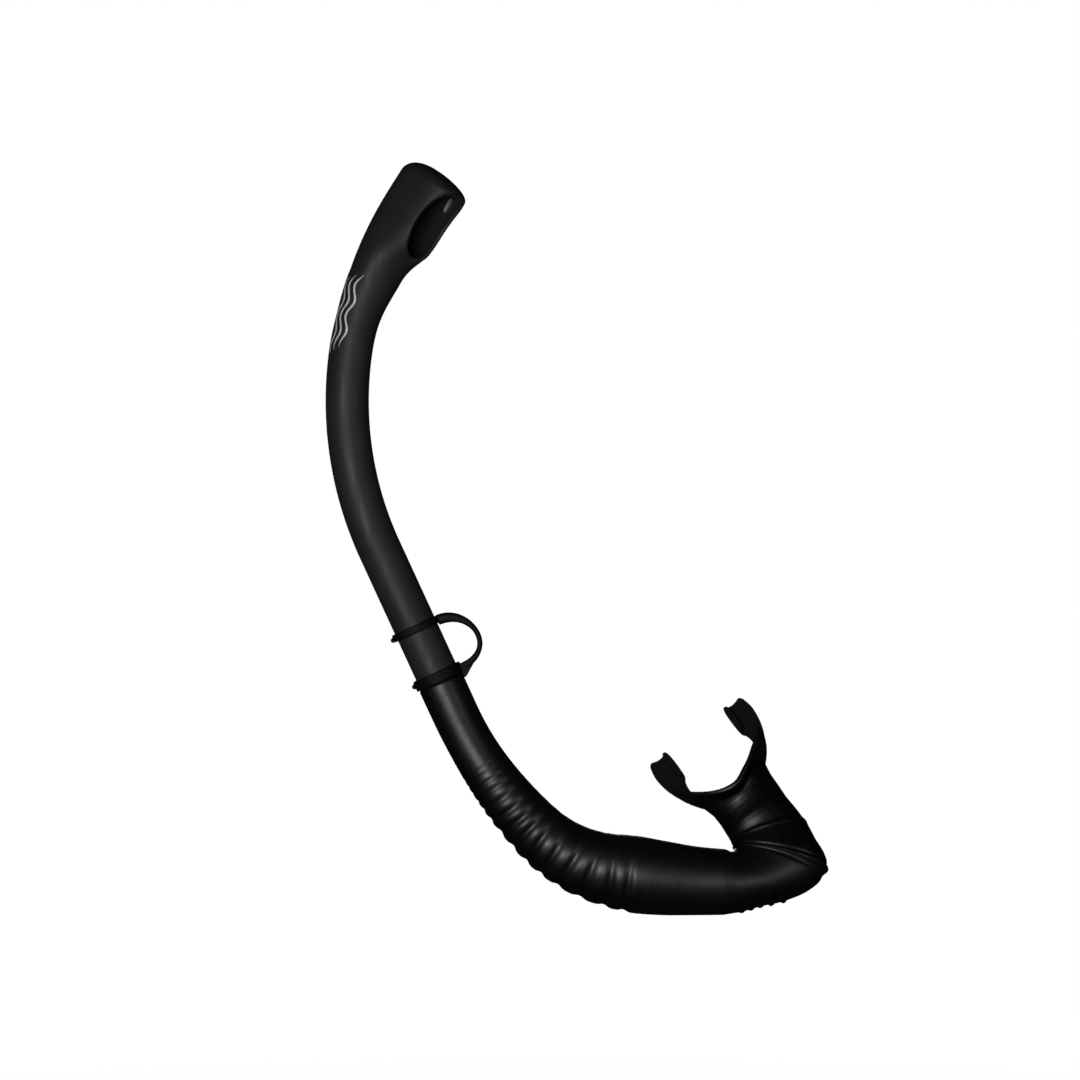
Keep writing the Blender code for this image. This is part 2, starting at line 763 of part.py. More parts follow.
def build():
    clear_scene()
    barrel_plastic = plastic("barrel_plastic", (0.02, 0.021, 0.022), 0.55)
    hose_rubber = plastic("hose_rubber", (0.011, 0.011, 0.012), 0.35)
    keeper_rubber = plastic("keeper_rubber", (0.007, 0.007, 0.008), 0.6)
    mouth_rubber = plastic("mouth_rubber", (0.008, 0.008, 0.009), 0.45)
    insert_plastic = plastic("insert_plastic", (0.03, 0.03, 0.032), 0.5)
    make_barrel(barrel_plastic)
    make_keeper(keeper_rubber)
    make_hose_cuff(hose_rubber)
    for index in range(LINK_COUNT):
        make_hose_link(index, hose_rubber)
    make_hose_elbow(hose_rubber)
    make_port_insert(insert_plastic)
    make_mouthpiece(mouth_rubber)


build()
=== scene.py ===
"""The looks of a J-type diving snorkel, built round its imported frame.

Frame: metres, +Z up, the J lies in the X-Z plane and the snorkel's front faces -Y. Lengths in this
script are in millimetres until they reach a mesh. The origin is on the barrel's axis at the keeper.
"""

import math

import bmesh
import bpy
import numpy as np
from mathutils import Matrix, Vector


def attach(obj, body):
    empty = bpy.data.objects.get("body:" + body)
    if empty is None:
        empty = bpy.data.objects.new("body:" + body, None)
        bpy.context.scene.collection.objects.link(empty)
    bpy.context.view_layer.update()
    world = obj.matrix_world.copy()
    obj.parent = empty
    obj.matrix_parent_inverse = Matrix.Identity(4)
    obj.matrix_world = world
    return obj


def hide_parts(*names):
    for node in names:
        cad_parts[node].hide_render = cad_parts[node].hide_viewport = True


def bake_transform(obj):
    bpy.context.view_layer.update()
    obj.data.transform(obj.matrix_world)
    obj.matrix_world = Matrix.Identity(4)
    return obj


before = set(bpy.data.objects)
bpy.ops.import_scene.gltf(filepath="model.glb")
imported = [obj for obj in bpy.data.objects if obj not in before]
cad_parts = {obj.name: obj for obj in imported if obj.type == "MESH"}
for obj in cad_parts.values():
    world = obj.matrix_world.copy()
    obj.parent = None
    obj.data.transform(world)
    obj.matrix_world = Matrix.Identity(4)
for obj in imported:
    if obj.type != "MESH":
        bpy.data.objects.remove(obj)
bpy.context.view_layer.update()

MM = 0.001
TINY = 1e-9
COLUMNS = 128
FRONT = np.array([0.0, -1.0, 0.0])
AWAY = -FRONT

# Barrel and scoop
BARREL_RADIUS = 12.1
BORE_RADIUS = 10.0
WALL = 2.0
SPIGOT_RADIUS = 11.1
SPIGOT_END = 52.0
SHOULDER = 32.8
BARREL_HEADING = math.radians(114.7)
BARREL_BENDS = ((113.9, 0.0), (112.9, math.radians(-32.7)), (42.2, math.radians(-19.5)))
SCOOP_START = sum(length for length, turn in BARREL_BENDS)
SCOOP_TURN = math.radians(40)
SCOOP_TOP = 70.4
SCOOP_SHOULDER = 60.5
SCOOP_MIDDLE = 5.0
CROWN_TILT = 0.13
CROWN_CLOSED = 0.05
ROUNDNESS = 2.2
BORE_CHAMFER = 0.25
SPIGOT_CHAMFER = 0.4
SHOULDER_CHAMFER = 0.35
SHOULDER_STEP = 0.01
STEM_STEPS = 110
MOUTH_STEPS = 64
CROWN_STEPS = 14
RIM_STEPS = 8
RIM_FULLNESS = 0.75
HALVINGS = 40
WELD_METRES = 0.00002
SLIVER_METRES = 0.000005

# The scoop's swellings: the rise where each starts, the rise it takes and what it adds
BACK_SWELL = (-28.0, 30.0, 2.1)
SIDE_SWELL = (-28.0, 40.0, 3.4)
FRONT_SWELLS = ((-28.0, 30.0, 1.2), (6.5, 21.0, 9.5), (20.0, 40.0, 5.5))
SQUARING = (14.0, 24.0, 1.0)
BACK_BOW = 3.4

# The scoop's opening: its rim is nearest the axis at the waist, and spreads over a rise by a depth
WAIST_RISE = 34.0
WAIST_DEPTH = 18.0
SPREAD_BELOW = (16.0, 0.8)
SPREAD_ABOVE = (28.0, 9.3)
MOUTH_MIDDLE = 36.0
MOUTH_SEARCH_ENDS = (10.0, 69.0)

# The rib inside the scoop, placed towards the opening, across it and up the barrel
RIB_PLACE = (13.0, -12.0, 56.0)
RIB_HALF_LENGTH = 4.4
RIB_HALF_DEPTH = 1.15
RIB_WIDTH_SHARE = 1.5

# The printed lines, in millimetres along the barrel and degrees round it
MARK_LANES = (151.0, 133.0, 115.0)
MARK_START = -45.0
MARK_LENGTH = 41.0
MARK_STAGGER = 2.0
MARK_SWING = 7.0
MARK_WAVES = 2.5
MARK_PHASE = 0.6
MARK_HALF_WIDTH = 2.8
MARK_TIP = 0.15
MARK_TAPER = 6.0
MARK_SUNK = 0.02
MARK_RAISED = 0.06

# Hose and elbow
HOSE_TOP = 19.5
CUFF_RADIUS = 11.5
CUFF_BORE_END = 52.5
HOSE_WALL = 2.2
HOSE_BENDS = (
    (38.0, 0.0), (81.3, math.radians(20.1)), (48.1, math.radians(34.7)), (69.2, math.radians(10.5)),
)
HOSE_RADII = (
    (19.5, 13.1), (60, 13.2), (96, 15.1), (128, 17.2), (160, 20.0),
    (178, 21.5), (196, 20.7), (214, 19.2), (236, 18.1),
)
LIP = 1.0
LIP_DEPTH = 0.7
HINGES = (78, 96, 114, 132, 150, 168)
SEAM = 9.0
SEAMS = [hinge - SEAM for hinge in HINGES] + [HINGES[-1] + SEAM]
BLEND_INSET = 2.6
ROW_STEP = 0.75
PIVOT = np.array([168.5, 0.0, -109.4])
ELBOW_START = 230.0
FAN_OUTER = (
    (-90, 37.4), (-62, 38.4), (-42.5, 45.2), (-28.5, 52.3), (-20, 56.2),
    (-13, 57.6), (-6, 54.9), (4, 49.4), (24, 44.7), (36.87, 43.0),
)
FAN_INNER = ((-90, 2.0), (-35, 4.6), (0, 3.0), (36.87, 2.1))
FAN_DEPTH = ((-90, 17.8), (-50, 16.5), (-13, 15.0), (17, 12.5), (36.87, 11.7))
NECK_ANGLE = 36.87
MITRE = -13.0
CUFF_ANGLE = 17.0
LEAN = math.radians(25)
LEAN_START = -80.0
DRIFT = 14.0
DRIFT_START = -90.0
TURN_START = -84.0
TURN_BORE_END = -24.0
PORT_GAP = 0.3
PORT_WALL = 1.9
PORT_ANGLES = (MITRE + 0.2, -6.0, 4.0, CUFF_ANGLE - 1.5)
PORT_BORE_START = -20.0

# Ridges and hollows: how far each lies from its edge, its height and its width
BEAD = (-1.5, 0.8, 1.3)
BEAD_HOLLOW = (-5.2, -0.7, 2.2)
COLLAR_BAND = (-0.6, 0.35, 1.6)

# The corrugations: grooves that start shallow and close together, and grow along the hose. Their
# wander has heights, lobes round the hose, phases and phases for each millimetre along it.
GROOVE_START = 73.0
GROOVE_END = 178.0
GROOVE_PITCH = 4.0
PITCH_GROWTH = 1.13
WIDEST_PITCH = 10.4
GROOVE_GROWTH = (70.0, 45.0, 1.0)
FIRST_DEPTH = 0.20
ADDED_DEPTH = 1.1
FIRST_WIDTH = 0.8
ADDED_WIDTH = 1.5
CREASE_PLACE = 0.64
CREASE_DEPTH = 0.10
CREASE_WIDTH = 0.5
FOLD_SINK = (95.0, 30.0, 0.10)
FOLD_SINK_END = (172.0, 6.0, 1.0)
FOLD_INNER_SHARE = 0.08
FOLD_SPAN = 1.35
FOLD_WANDER = ((1.1, 1, 0.9, 0.11), (0.45, 2, 0.0, -0.17))

# The grip ribs under the elbow
GRIP_RIBS = 5
GRIP_START = -78.0
GRIP_STEP = math.degrees(5.6 / 38)
GRIP_HALF_LENGTH = 9.5
GRIP_HALF_WIDTH = 1.9
GRIP_HEIGHT = 1.25
GRIP_SUNK = 0.5
GRIP_EDGE = 0.02

# Mouthpiece: w across it, a towards the mouth, v towards the front
MOUTH_CENTRE = 23.8
NECK_CENTRE = 22.3
CUFF_WALL = 2.0
NECK_BORE = (15.4, 7.2)
NECK_BORE_RINGS = ((2.0, 0.0), (12.0, 0.3), (18.5, 1.0))
COLLAR_WALL = 4.4
COLLAR_BORE_ANGLES = (CUFF_ANGLE + 0.3, 26.0)
COLLAR_STEP = (CUFF_ANGLE + 0.6, 2.2, 0.4)
CUFF_EDGE = MITRE + 0.9
CUFF_EDGE_SINK = 0.5
CUFF_EDGE_RUN = 3.0
NECK_START = 33.0
NECK_RINGS = (
    (2.0, 22.8, 19.9, 11.4, 0.0), (6.0, 23.1, 19.9, 11.1, 0.0), (10.0, 23.4, 19.8, 11.2, 0.1),
    (13.5, 23.4, 20.0, 11.8, 0.45), (16.0, 22.9, 21.6, 13.0, 0.8), (18.5, 22.4, 24.8, 15.0, 1.0),
)
FLANGE_BASE = 21.4
FLANGE_CURVE = 0.025
FLANGE_HALF_WIDTH = 31.0
FLANGE_HALF_HEIGHT = 19.0
FLANGE_CORNERS = 0.8
FLANGE_THICKNESS = 5.4
FLANGE_THINNING = (0.45, 0.5, 2.2)
FLANGE_RIM = 0.94
FLANGE_MIDDLE = -2.7
FLANGE_SHIFT = 0.18
LOWER_FULLNESS = (0.0, 10.0, 1.8)
LOWER_FULLNESS_END = (19.0, 9.0, 1.0)
MATT_START = 25
MATT_END = 33
TAB_HALF_THICKNESS = 2.0
LUG_HALF_THICKNESS = 6.0
BITE_OUTLINE = (
    (22.6, 31.0), (22.3, 44.0), (19.8, 48.0), (19.3, 60.0), (20.5, 66.0), (25.8, 64.3),
    (32.3, 66.5), (34.4, 57.0), (33.2, 48.0), (31.0, 41.0), (27.6, 35.0), (25.5, 32.0),
)
LUG_OUTLINE = ((19.8, 48.0), (19.3, 60.0), (20.5, 65.5), (23.6, 64.3), (23.2, 47.5))

# Keeper: n away from the barrel's axis towards the inner side, u up along the barrel
KEEPER_BORE = 12.45
KEEPER_OUTER = 14.2
KEEPER_RINGS = (13.1, -15.4)
BAND_STEPS = 20
BAND_HALF_THICKNESS = 0.875
BAND_HALF_HEIGHT = 2.2
LOWER_BAND_DROP = 1.8
LOOP_CURVE = ((12.9, 12.8), (33.0, 12.4), (38.8, -17.8), (13.1, -17.0))
LOOP_STEPS = 60
LOOP_ROOT_THICKNESS = 6.0
LOOP_THINNING = (0.0, 0.5, 3.0)
LOOP_FOOT = (0.7, 0.3, 1.2)
LOOP_SHIFT = 0.3
LOOP_HALF_WIDTH = 6.0
LOOP_END_SHARE = 0.72
FOOT_HALF_WIDTH = 4.2
FOOT_OUTLINE = (
    (12.3, -15.0), (17.0, -15.0), (25.8, -12.6), (27.6, -12.9), (21.0, -17.8),
    (14.4, -22.8), (13.15, -22.8), (13.15, -20.4), (12.5, -19.5), (12.3, -19.4),
)
TAB_DROP = 0.6
TAB_WIDTH_SHARE = 1.8
TAB_RINGS = ((13.2, 1.5), (14.3, 1.3), (15.0, 1.3), (15.5, 1.05), (15.8, 0.6))

# Soft mouldings: the grid they are joined on, and the passes that round their corners
KEEPER_GRID = 0.34
MOUTH_GRID = 0.5
RELAX_PASSES = 5
CORNER_CUT = 0.2
SOFT_SQUARE = 0.6
FIRM_SQUARE = 0.5

# Studio, in metres and watts
LIGHT_TARGET = (0.07, 0.0, 0.06)
LIGHTS = (
    ("key_light", (-0.5, -2.0, 0.02), 1.0, 0.4, 26),
    ("fill_light", (1.35, -1.7, 0.1), 0.6, 0.5, 4.5),
    ("back_light", (-0.25, 2.3, 0.35), 0.9, 0.5, 9),
)
WORLD_LIGHT = 0.012
FLOOR_CENTRE = (0.07, 0.0, -0.33)
FLOOR_RADIUS = 6000.0
FLOOR_FADE = (0.1, 0.9)
FLOOR_GLOW = 0.75
CAMERA_PLACE = (0.0636, -2.4, 0.0614)
VIEW_WIDTH = 0.6026
SENSOR_WIDTH = 36.0
CAMERA_REACH = 30.0


# ---- Shared shapes


def smooth(value):
    """An even ease from 0 to 1."""
    value = np.clip(value, 0.0, 1.0)
    return value * value * (3 - 2 * value)


def grown(place, start, run, growth):
    """What a swelling has added at a place, when it starts at another and takes a run to grow."""
    return growth * smooth((place - start) / run)


def ridge(gap, height, width):
    """A rounded ridge's height at a gap from its crest."""
    return height * np.exp(-((gap / width) ** 2))


def squared(value, power):
    """A sine or cosine pushed towards a square's corners, with its sign kept."""
    return math.copysign(abs(value) ** power, value)


def between(knots, place):
    """The value at a place along a list of (place, value) knots, eased from knot to knot."""
    if place <= knots[0][0]:
        return knots[0][1]
    for index in range(1, len(knots)):
        start, first = knots[index - 1]
        end, last = knots[index]
        if place <= end:
            before = knots[max(index - 2, 0)]
            after = knots[min(index + 1, len(knots) - 1)]
            slope_in = (last - before[1]) / (end - before[0])
            slope_out = (after[1] - first) / (after[0] - start)
            run = end - start
            u = (place - start) / run
            return (
                first * (2 * u**3 - 3 * u**2 + 1)
                + slope_in * run * (u**3 - 2 * u**2 + u)
                + last * (3 * u**2 - 2 * u**3)
                + slope_out * run * (u**3 - u**2)
            )
    return knots[-1][1]


def walk(x, z, heading, bends, distance):
    """The point and heading at a distance along straight and round stretches in the X-Z plane."""
    for length, turn in bends:
        step = min(distance, length)
        if turn == 0:
            x += math.cos(heading) * step
            z += math.sin(heading) * step
        else:
            radius = length / turn
            swept = step / radius
            x += radius * (math.sin(heading + swept) - math.sin(heading))
            z += radius * (math.cos(heading) - math.cos(heading + swept))
            heading += swept
        distance -= step
        if distance <= 0:
            break
    if distance > 0:
        x += math.cos(heading) * distance
        z += math.sin(heading) * distance
    return np.array([x, 0.0, z]), heading


def along(heading):
    """The direction of a heading in the X-Z plane."""
    return np.array([math.cos(heading), 0.0, math.sin(heading)])


def turns(count):
    """Even angles round a circle."""
    return np.arange(count) * (2 * math.pi / count)


def oval(centre, across, deep, half_across, half_deep, count=COLUMNS):
    """A ring of points round a centre, in the plane of two directions."""
    angle = turns(count)[:, None]
    return centre + across * (half_across * np.cos(angle)) + deep * (half_deep * np.sin(angle))


def finished(name, data, material, sharp=None):
    """A smooth-shaded object from a mesh, with edges kept sharp beyond an angle in degrees."""
    if material:
        data.materials.append(material)
    data.shade_smooth()
    if sharp:
        data.set_sharp_from_angle(angle=math.radians(sharp))
    made = bpy.data.objects.new(name, data)
    bpy.context.scene.collection.objects.link(made)
    return made


def new_object(name, vertices, faces, material, sharp=None):
    """A smooth-shaded mesh object from points in millimetres."""
    data = bpy.data.meshes.new(name)
    data.from_pydata([tuple(point) for point in np.asarray(vertices) * MM], [], faces)
    data.validate()
    return finished(name, data, material, sharp)


def loop_faces(rows, columns, closed_rows):
    """Quads of a grid whose columns close on themselves, and its rows too if asked."""
    faces = []
    for row in range(rows if closed_rows else rows - 1):
        below = row * columns
        above = ((row + 1) % rows) * columns
        for column in range(columns):
            after = (column + 1) % columns
            faces.append((below + column, below + after, above + after, above + column))
    return faces


def outward(made):
    """Turns a closed mesh's faces outward."""
    mesh = bmesh.new()
    mesh.from_mesh(made.data)
    bmesh.ops.recalc_face_normals(mesh, faces=mesh.faces)
    mesh.to_mesh(made.data)
    mesh.free()


def shell(name, rings, material, sharp=None):
    """A closed solid from rings of points: from outer rings, then inner rings, back to the first."""
    rings = [np.asarray(ring) for ring in rings]
    count = len(rings[0])
    made = new_object(name, np.concatenate(rings), loop_faces(len(rings), count, True), material, sharp)
    outward(made)
    return made


def plug(name, rings, material):
    """A closed solid from rings of points, with a fan of faces at each end."""
    rings = [np.asarray(ring) for ring in rings]
    count = len(rings[0])
    points = np.concatenate([*rings, [rings[0].mean(0)], [rings[-1].mean(0)]])
    faces = loop_faces(len(rings), count, False)
    last = (len(rings) - 1) * count
    tip = len(rings) * count
    for column in range(count):
        after = (column + 1) % count
        faces.append((after, column, tip))
        faces.append((last + column, last + after, tip + 1))
    made = new_object(name, points, faces, material)
    outward(made)
    return made


def slab(name, outline, place, low, high):
    """A solid with an outline of two-number points, reaching from low to high across it."""
    count = len(outline)
    points = [place(*point, low) for point in outline] + [place(*point, high) for point in outline]
    faces = [tuple(range(count)), tuple(range(count, 2 * count))]
    for index in range(count):
        after = (index + 1) % count
        faces.append((index, after, count + after, count + index))
    made = new_object(name, points, faces, None)
    outward(made)
    return made


def rounded(outline, passes):
    """Cuts the corners of an outline again and again, so that it turns smoothly."""
    points = np.array(outline, float)
    for _ in range(passes):
        after = np.roll(points, -1, axis=0)
        near = (1 - CORNER_CUT) * points + CORNER_CUT * after
        far = CORNER_CUT * points + (1 - CORNER_CUT) * after
        points = np.stack([near, far], 1).reshape(-1, 2)
    return [tuple(point) for point in points]


def melt(name, parts, grid, material):
    """Joins overlapping solids into one soft moulding with filleted corners."""
    base = parts[0]
    with bpy.context.temp_override(active_object=base, selected_editable_objects=parts):
        bpy.ops.object.join()
    base.name = name
    remesh = base.modifiers.new("remesh", "REMESH")
    remesh.mode = "VOXEL"
    remesh.voxel_size = grid * MM
    relax = base.modifiers.new("relax", "SMOOTH")
    relax.factor = 0.5
    relax.iterations = RELAX_PASSES
    depsgraph = bpy.context.evaluated_depsgraph_get()
    data = bpy.data.meshes.new_from_object(base.evaluated_get(depsgraph))
    base.modifiers.clear()
    base.data = data
    data.materials.clear()
    data.materials.append(material)
    data.shade_smooth()
    return base


# ---- Materials


class Look:
    """A procedural material, built from the object's own coordinates in metres."""

    def __init__(self, name):
        self.material = bpy.data.materials.new(name)
        self.material.use_nodes = True
        self.nodes = self.material.node_tree.nodes
        self.links = self.material.node_tree.links
        self.shader = self.nodes["Principled BSDF"]
        self.place = self.nodes.new("ShaderNodeTexCoord").outputs["Object"]
        self.height = None

    def add(self, kind, numbers, sources):
        """A node with numbers and sources on its sockets."""
        node = self.nodes.new(kind)
        for socket, number in numbers.items():
            node.inputs[socket].default_value = number
        for socket, source in sources.items():
            self.links.new(source, node.inputs[socket])
        return node

    def noise(self, scale, detail, roughness, stretch=None):
        """Cloudy noise, with a coordinate scaled down along the way that it is drawn out."""
        place = self.place
        if stretch:
            place = self.add("ShaderNodeMapping", {"Scale": stretch}, {"Vector": place}).outputs["Vector"]
        numbers = {"Scale": scale, "Detail": detail, "Roughness": roughness}
        return self.add("ShaderNodeTexNoise", numbers, {"Vector": place}).outputs["Fac"]

    def spots(self, scale):
        """A pattern of small cells."""
        return self.add("ShaderNodeTexVoronoi", {"Scale": scale}, {"Vector": self.place}).outputs["Distance"]

    def spread(self, value, low, high, to_low, to_high):
        """A value moved from one range to another and held at its ends."""
        numbers = {"From Min": low, "From Max": high, "To Min": to_low, "To Max": to_high}
        return self.add("ShaderNodeMapRange", numbers, {"Value": value}).outputs["Result"]

    def added(self, one, other):
        """The sum of two values."""
        return self.add("ShaderNodeMath", {}, {0: one, 1: other}).outputs["Value"]

    def reach(self, start, beyond):
        """How far a point lies from a start, along the line from there to another place."""
        way = (beyond - start) / np.linalg.norm(beyond - start)
        node = self.add("ShaderNodeVectorMath", {1: tuple(way)}, {0: self.place})
        node.operation = "DOT_PRODUCT"
        back = -float(start @ way) * MM
        return self.add("ShaderNodeMath", {1: back}, {0: node.outputs["Value"]}).outputs["Value"]

    def colour(self, value, dark, light, low=0.3, high=0.75):
        """Colours the piece from dark to light as a value goes from low to high."""
        ramp = self.nodes.new("ShaderNodeValToRGB")
        for stop, position, tint in zip(ramp.color_ramp.elements, (low, high), (dark, light)):
            stop.position = position
            stop.color = (*tint, 1.0)
        self.links.new(value, ramp.inputs["Fac"])
        self.links.new(ramp.outputs["Color"], self.shader.inputs["Base Color"])

    def roughness(self, value, smoothest, roughest, low=0.3, high=0.75):
        """Roughens the piece as a value goes from low to high."""
        self.links.new(self.spread(value, low, high, smoothest, roughest), self.shader.inputs["Roughness"])

    def bump(self, value, height):
        """Adds relief of a height in millimetres on top of what is already there."""
        node = self.add("ShaderNodeBump", {"Distance": height * MM}, {"Height": value})
        if self.height:
            self.links.new(self.height, node.inputs["Normal"])
        self.height = node.outputs["Normal"]
        self.links.new(self.height, self.shader.inputs["Normal"])

    def done(self, specular):
        """The finished material."""
        self.shader.inputs["Specular IOR Level"].default_value = specular
        return self.material


def barrel_look():
    """Satin black plastic with a fine spark-eroded texture and faint handling marks."""
    look = Look("barrel_plastic")
    cloud = look.noise(38, 5, 0.6)
    scuff = look.noise(260, 3, 0.5, stretch=(1.0, 1.0, 0.12))
    look.colour(cloud, (0.0150, 0.0153, 0.0156), (0.0220, 0.0220, 0.0224), high=0.72)
    look.roughness(scuff, 0.46, 0.60)
    look.bump(look.noise(2400, 2, 0.6), 0.030)
    look.bump(look.spots(1500), 0.012)
    return look.done(specular=0.26)


def hose_look():
    """Black silicone, smoother than the barrel, with flow lines round the tube."""
    look = Look("hose_silicone")
    cloud = look.noise(60, 5, 0.6)
    flow = look.noise(420, 4, 0.6, stretch=(1.0, 0.16, 0.3))
    look.colour(cloud, (0.0009, 0.0009, 0.0010), (0.0022, 0.0022, 0.0023))
    look.roughness(flow, 0.37, 0.47, low=0.25)
    look.bump(flow, 0.03)
    look.bump(look.noise(1500, 3, 0.6), 0.012)
    return look.done(specular=0.46)


def mouth_look():
    """Soft black silicone, glossy at the neck and matt from the lip shield on."""
    look = Look("mouth_silicone")
    cloud = look.noise(90, 5, 0.6)
    look.colour(cloud, (0.0008, 0.0008, 0.0009), (0.0022, 0.0022, 0.0023))
    bloom = look.spread(look.noise(300, 4, 0.6), 0.3, 0.75, 0.30, 0.42)
    reach = look.reach(mouth_place(0, 0, 0), mouth_place(0, 1, 0))
    matt = look.spread(reach, MATT_START * MM, MATT_END * MM, 0.0, 0.52)
    look.roughness(look.added(bloom, matt), 0.0, 1.0, low=0.0, high=1.0)
    look.bump(look.noise(300, 3, 0.5), 0.03)
    look.bump(look.noise(2000, 2, 0.6), 0.008)
    return look.done(specular=0.22)


def keeper_look():
    """Matte black silicone."""
    look = Look("keeper_silicone")
    look.colour(look.noise(120, 4, 0.6), (0.0014, 0.0014, 0.0015), (0.0034, 0.0034, 0.0035))
    look.roughness(look.noise(500, 3, 0.6), 0.55, 0.72)
    look.bump(look.noise(1800, 3, 0.6), 0.02)
    return look.done(specular=0.15)


def insert_look():
    """Stiff charcoal plastic."""
    look = Look("insert_plastic")
    look.colour(look.noise(200, 3, 0.5), (0.026, 0.026, 0.028), (0.036, 0.036, 0.038), high=0.7)
    look.roughness(look.noise(600, 3, 0.5), 0.4, 0.55, high=0.7)
    look.bump(look.noise(2500, 2, 0.5), 0.01)
    return look.done(specular=0.5)


def rib_highlight_look():
    """The rib's paler face, a painted highlight where the light catches it."""
    look = Look("rib_painted_highlight")
    # Painted highlight: a grey far paler than the barrel's, standing in for light caught on the rib.
    look.colour(look.noise(500, 3, 0.5), (0.10, 0.10, 0.10), (0.17, 0.17, 0.17), high=0.7)
    look.roughness(look.noise(900, 3, 0.5), 0.35, 0.5, high=0.7)
    look.bump(look.noise(2500, 2, 0.5), 0.01)
    return look.done(specular=0.5)


def print_look():
    """Pale grey ink, a little worn."""
    look = Look("mark_ink")
    wear = look.noise(900, 5, 0.7)
    look.colour(wear, (0.42, 0.42, 0.42), (0.72, 0.72, 0.71), low=0.32, high=0.6)
    look.roughness(wear, 0.45, 0.65, high=0.7)
    look.bump(look.noise(2400, 2, 0.6), 0.01)
    return look.done(specular=0.4)


# ---- Barrel


def barrel_frame(distance):
    """The axis point and directions at a distance from the barrel's lower end."""
    start = along(BARREL_HEADING) * -SPIGOT_END
    point, heading = walk(start[0], start[2], BARREL_HEADING, BARREL_BENDS, distance)
    side = along(heading - math.pi / 2)
    facing = side * math.cos(SCOOP_TURN) + FRONT * math.sin(SCOOP_TURN)
    across = FRONT * math.cos(SCOOP_TURN) - side * math.sin(SCOOP_TURN)
    return point, along(heading), facing, across


def scoop_sizes(rise):
    """How far the section reaches back, to each side and to the opening, with its squareness."""
    back = BARREL_RADIUS + grown(rise, *BACK_SWELL)
    if 0 < rise < SCOOP_SHOULDER:
        back += BACK_BOW * math.sin(math.pi * rise / SCOOP_SHOULDER)
    side = BARREL_RADIUS + grown(rise, *SIDE_SWELL)
    front = BARREL_RADIUS
    for swell in FRONT_SWELLS:
        front += grown(rise, *swell)
    return back, side, front, grown(rise, *SQUARING)


def crown_shrink(rise, top):
    """How far up the crown a rise is, and the share of the section that is left there."""
    climb = min(1.0, max(0.0, (rise - SCOOP_SHOULDER) / (top - SCOOP_SHOULDER)))
    return climb, (1 - climb**ROUNDNESS) ** (1 / ROUNDNESS)


def barrel_surface(distance, angle, inset, top):
    """A point of the barrel's face at an angle from the opening's direction."""
    rise = distance - SCOOP_START
    point, forward, facing, across = barrel_frame(distance)
    back, side, front, square = scoop_sizes(rise)
    climb, shrink = crown_shrink(rise, top)
    power = 2 / (2 + square)
    c, s = math.cos(angle), math.sin(angle)
    if c > 0:
        reach = (front - inset) * c**power
        width = (side - inset) * squared(s, power)
    else:
        reach = (back - inset) * c
        width = (side - inset) * s
    reach = SCOOP_MIDDLE * (1 - shrink) + reach * shrink
    tilted = forward * (CROWN_TILT * climb * (SCOOP_MIDDLE - reach))
    return point + facing * reach + across * (width * shrink) + tilted


def mouth_depth(rise):
    """How far from the axis the opening's rim lies, least at its waist."""
    above = rise - WAIST_RISE
    run, depth = SPREAD_BELOW if above < 0 else SPREAD_ABOVE
    return WAIST_DEPTH + depth * (abs(above) / run) ** ROUNDNESS


def mouth_angle(rise, inset, top):
    """Half the angle that the opening takes out of the section, or 0 where there is none."""
    back, side, front, square = scoop_sizes(rise)
    climb, shrink = crown_shrink(rise, top)
    if shrink < CROWN_CLOSED:
        return 0.0
    depth = (mouth_depth(rise) - SCOOP_MIDDLE * (1 - shrink)) / shrink
    if depth >= front - inset:
        return 0.0
    power = 2 / (2 + square)
    return math.acos((depth / (front - inset)) ** (1 / power))


def mouth_end(inside, outside, inset, top):
    """The rise at which the opening closes, between one inside it and one outside it."""
    for _ in range(HALVINGS):
        middle = (inside + outside) / 2
        if mouth_angle(middle, inset, top) > 0:
            inside = middle
        else:
            outside = middle
    return inside


def barrel_rows(inset, top):
    """Rows of points of one face from the shoulder up, cut short where the opening is."""
    low, high = (mouth_end(MOUTH_MIDDLE, end, inset, top) for end in MOUTH_SEARCH_ENDS)
    below = SCOOP_START + low
    places = [SHOULDER + (below - SHOULDER) * step / STEM_STEPS for step in range(STEM_STEPS)]
    for step in range(MOUTH_STEPS + 1):
        places.append(below + (high - low) * (1 - math.cos(math.pi * step / MOUTH_STEPS)) / 2)
    for step in range(1, CROWN_STEPS):
        ease = math.sin(math.pi / 2 * step / CROWN_STEPS)
        places.append(SCOOP_START + high + (top - high) * ease)
    share = np.linspace(0, 1, COLUMNS + 1)
    rows = []
    for index, place in enumerate(places):
        half = 0.0
        if STEM_STEPS < index < STEM_STEPS + MOUTH_STEPS:
            half = mouth_angle(place - SCOOP_START, inset, top)
        angles = half + (2 * math.pi - 2 * half) * share
        rows.append([barrel_surface(place, angle, inset, top) for angle in angles])
    return np.array(rows)


def rim_arc(outer_edge, inner_edge, outer_next):
    """Points of a rounded lip from the outer face's edge to the inner face's edge."""
    middle = (outer_edge + inner_edge) / 2
    half = (outer_edge - inner_edge) / 2
    out = outer_edge - outer_next
    out -= half * (out @ half) / max(half @ half, TINY)
    out /= max(np.linalg.norm(out), TINY)
    size = np.linalg.norm(half) * RIM_FULLNESS
    arc = []
    for step in range(1, RIM_STEPS):
        turn = math.pi * step / RIM_STEPS
        arc.append(middle + half * math.cos(turn) + out * (size * math.sin(turn)))
    return arc


def round_row(distance, radius):
    """A round row of points, its last one on its first."""
    point, forward, facing, across = barrel_frame(distance)
    angle = np.linspace(0, 2 * math.pi, COLUMNS + 1)[:, None]
    return point + facing * (radius * np.cos(angle)) + across * (radius * np.sin(angle))


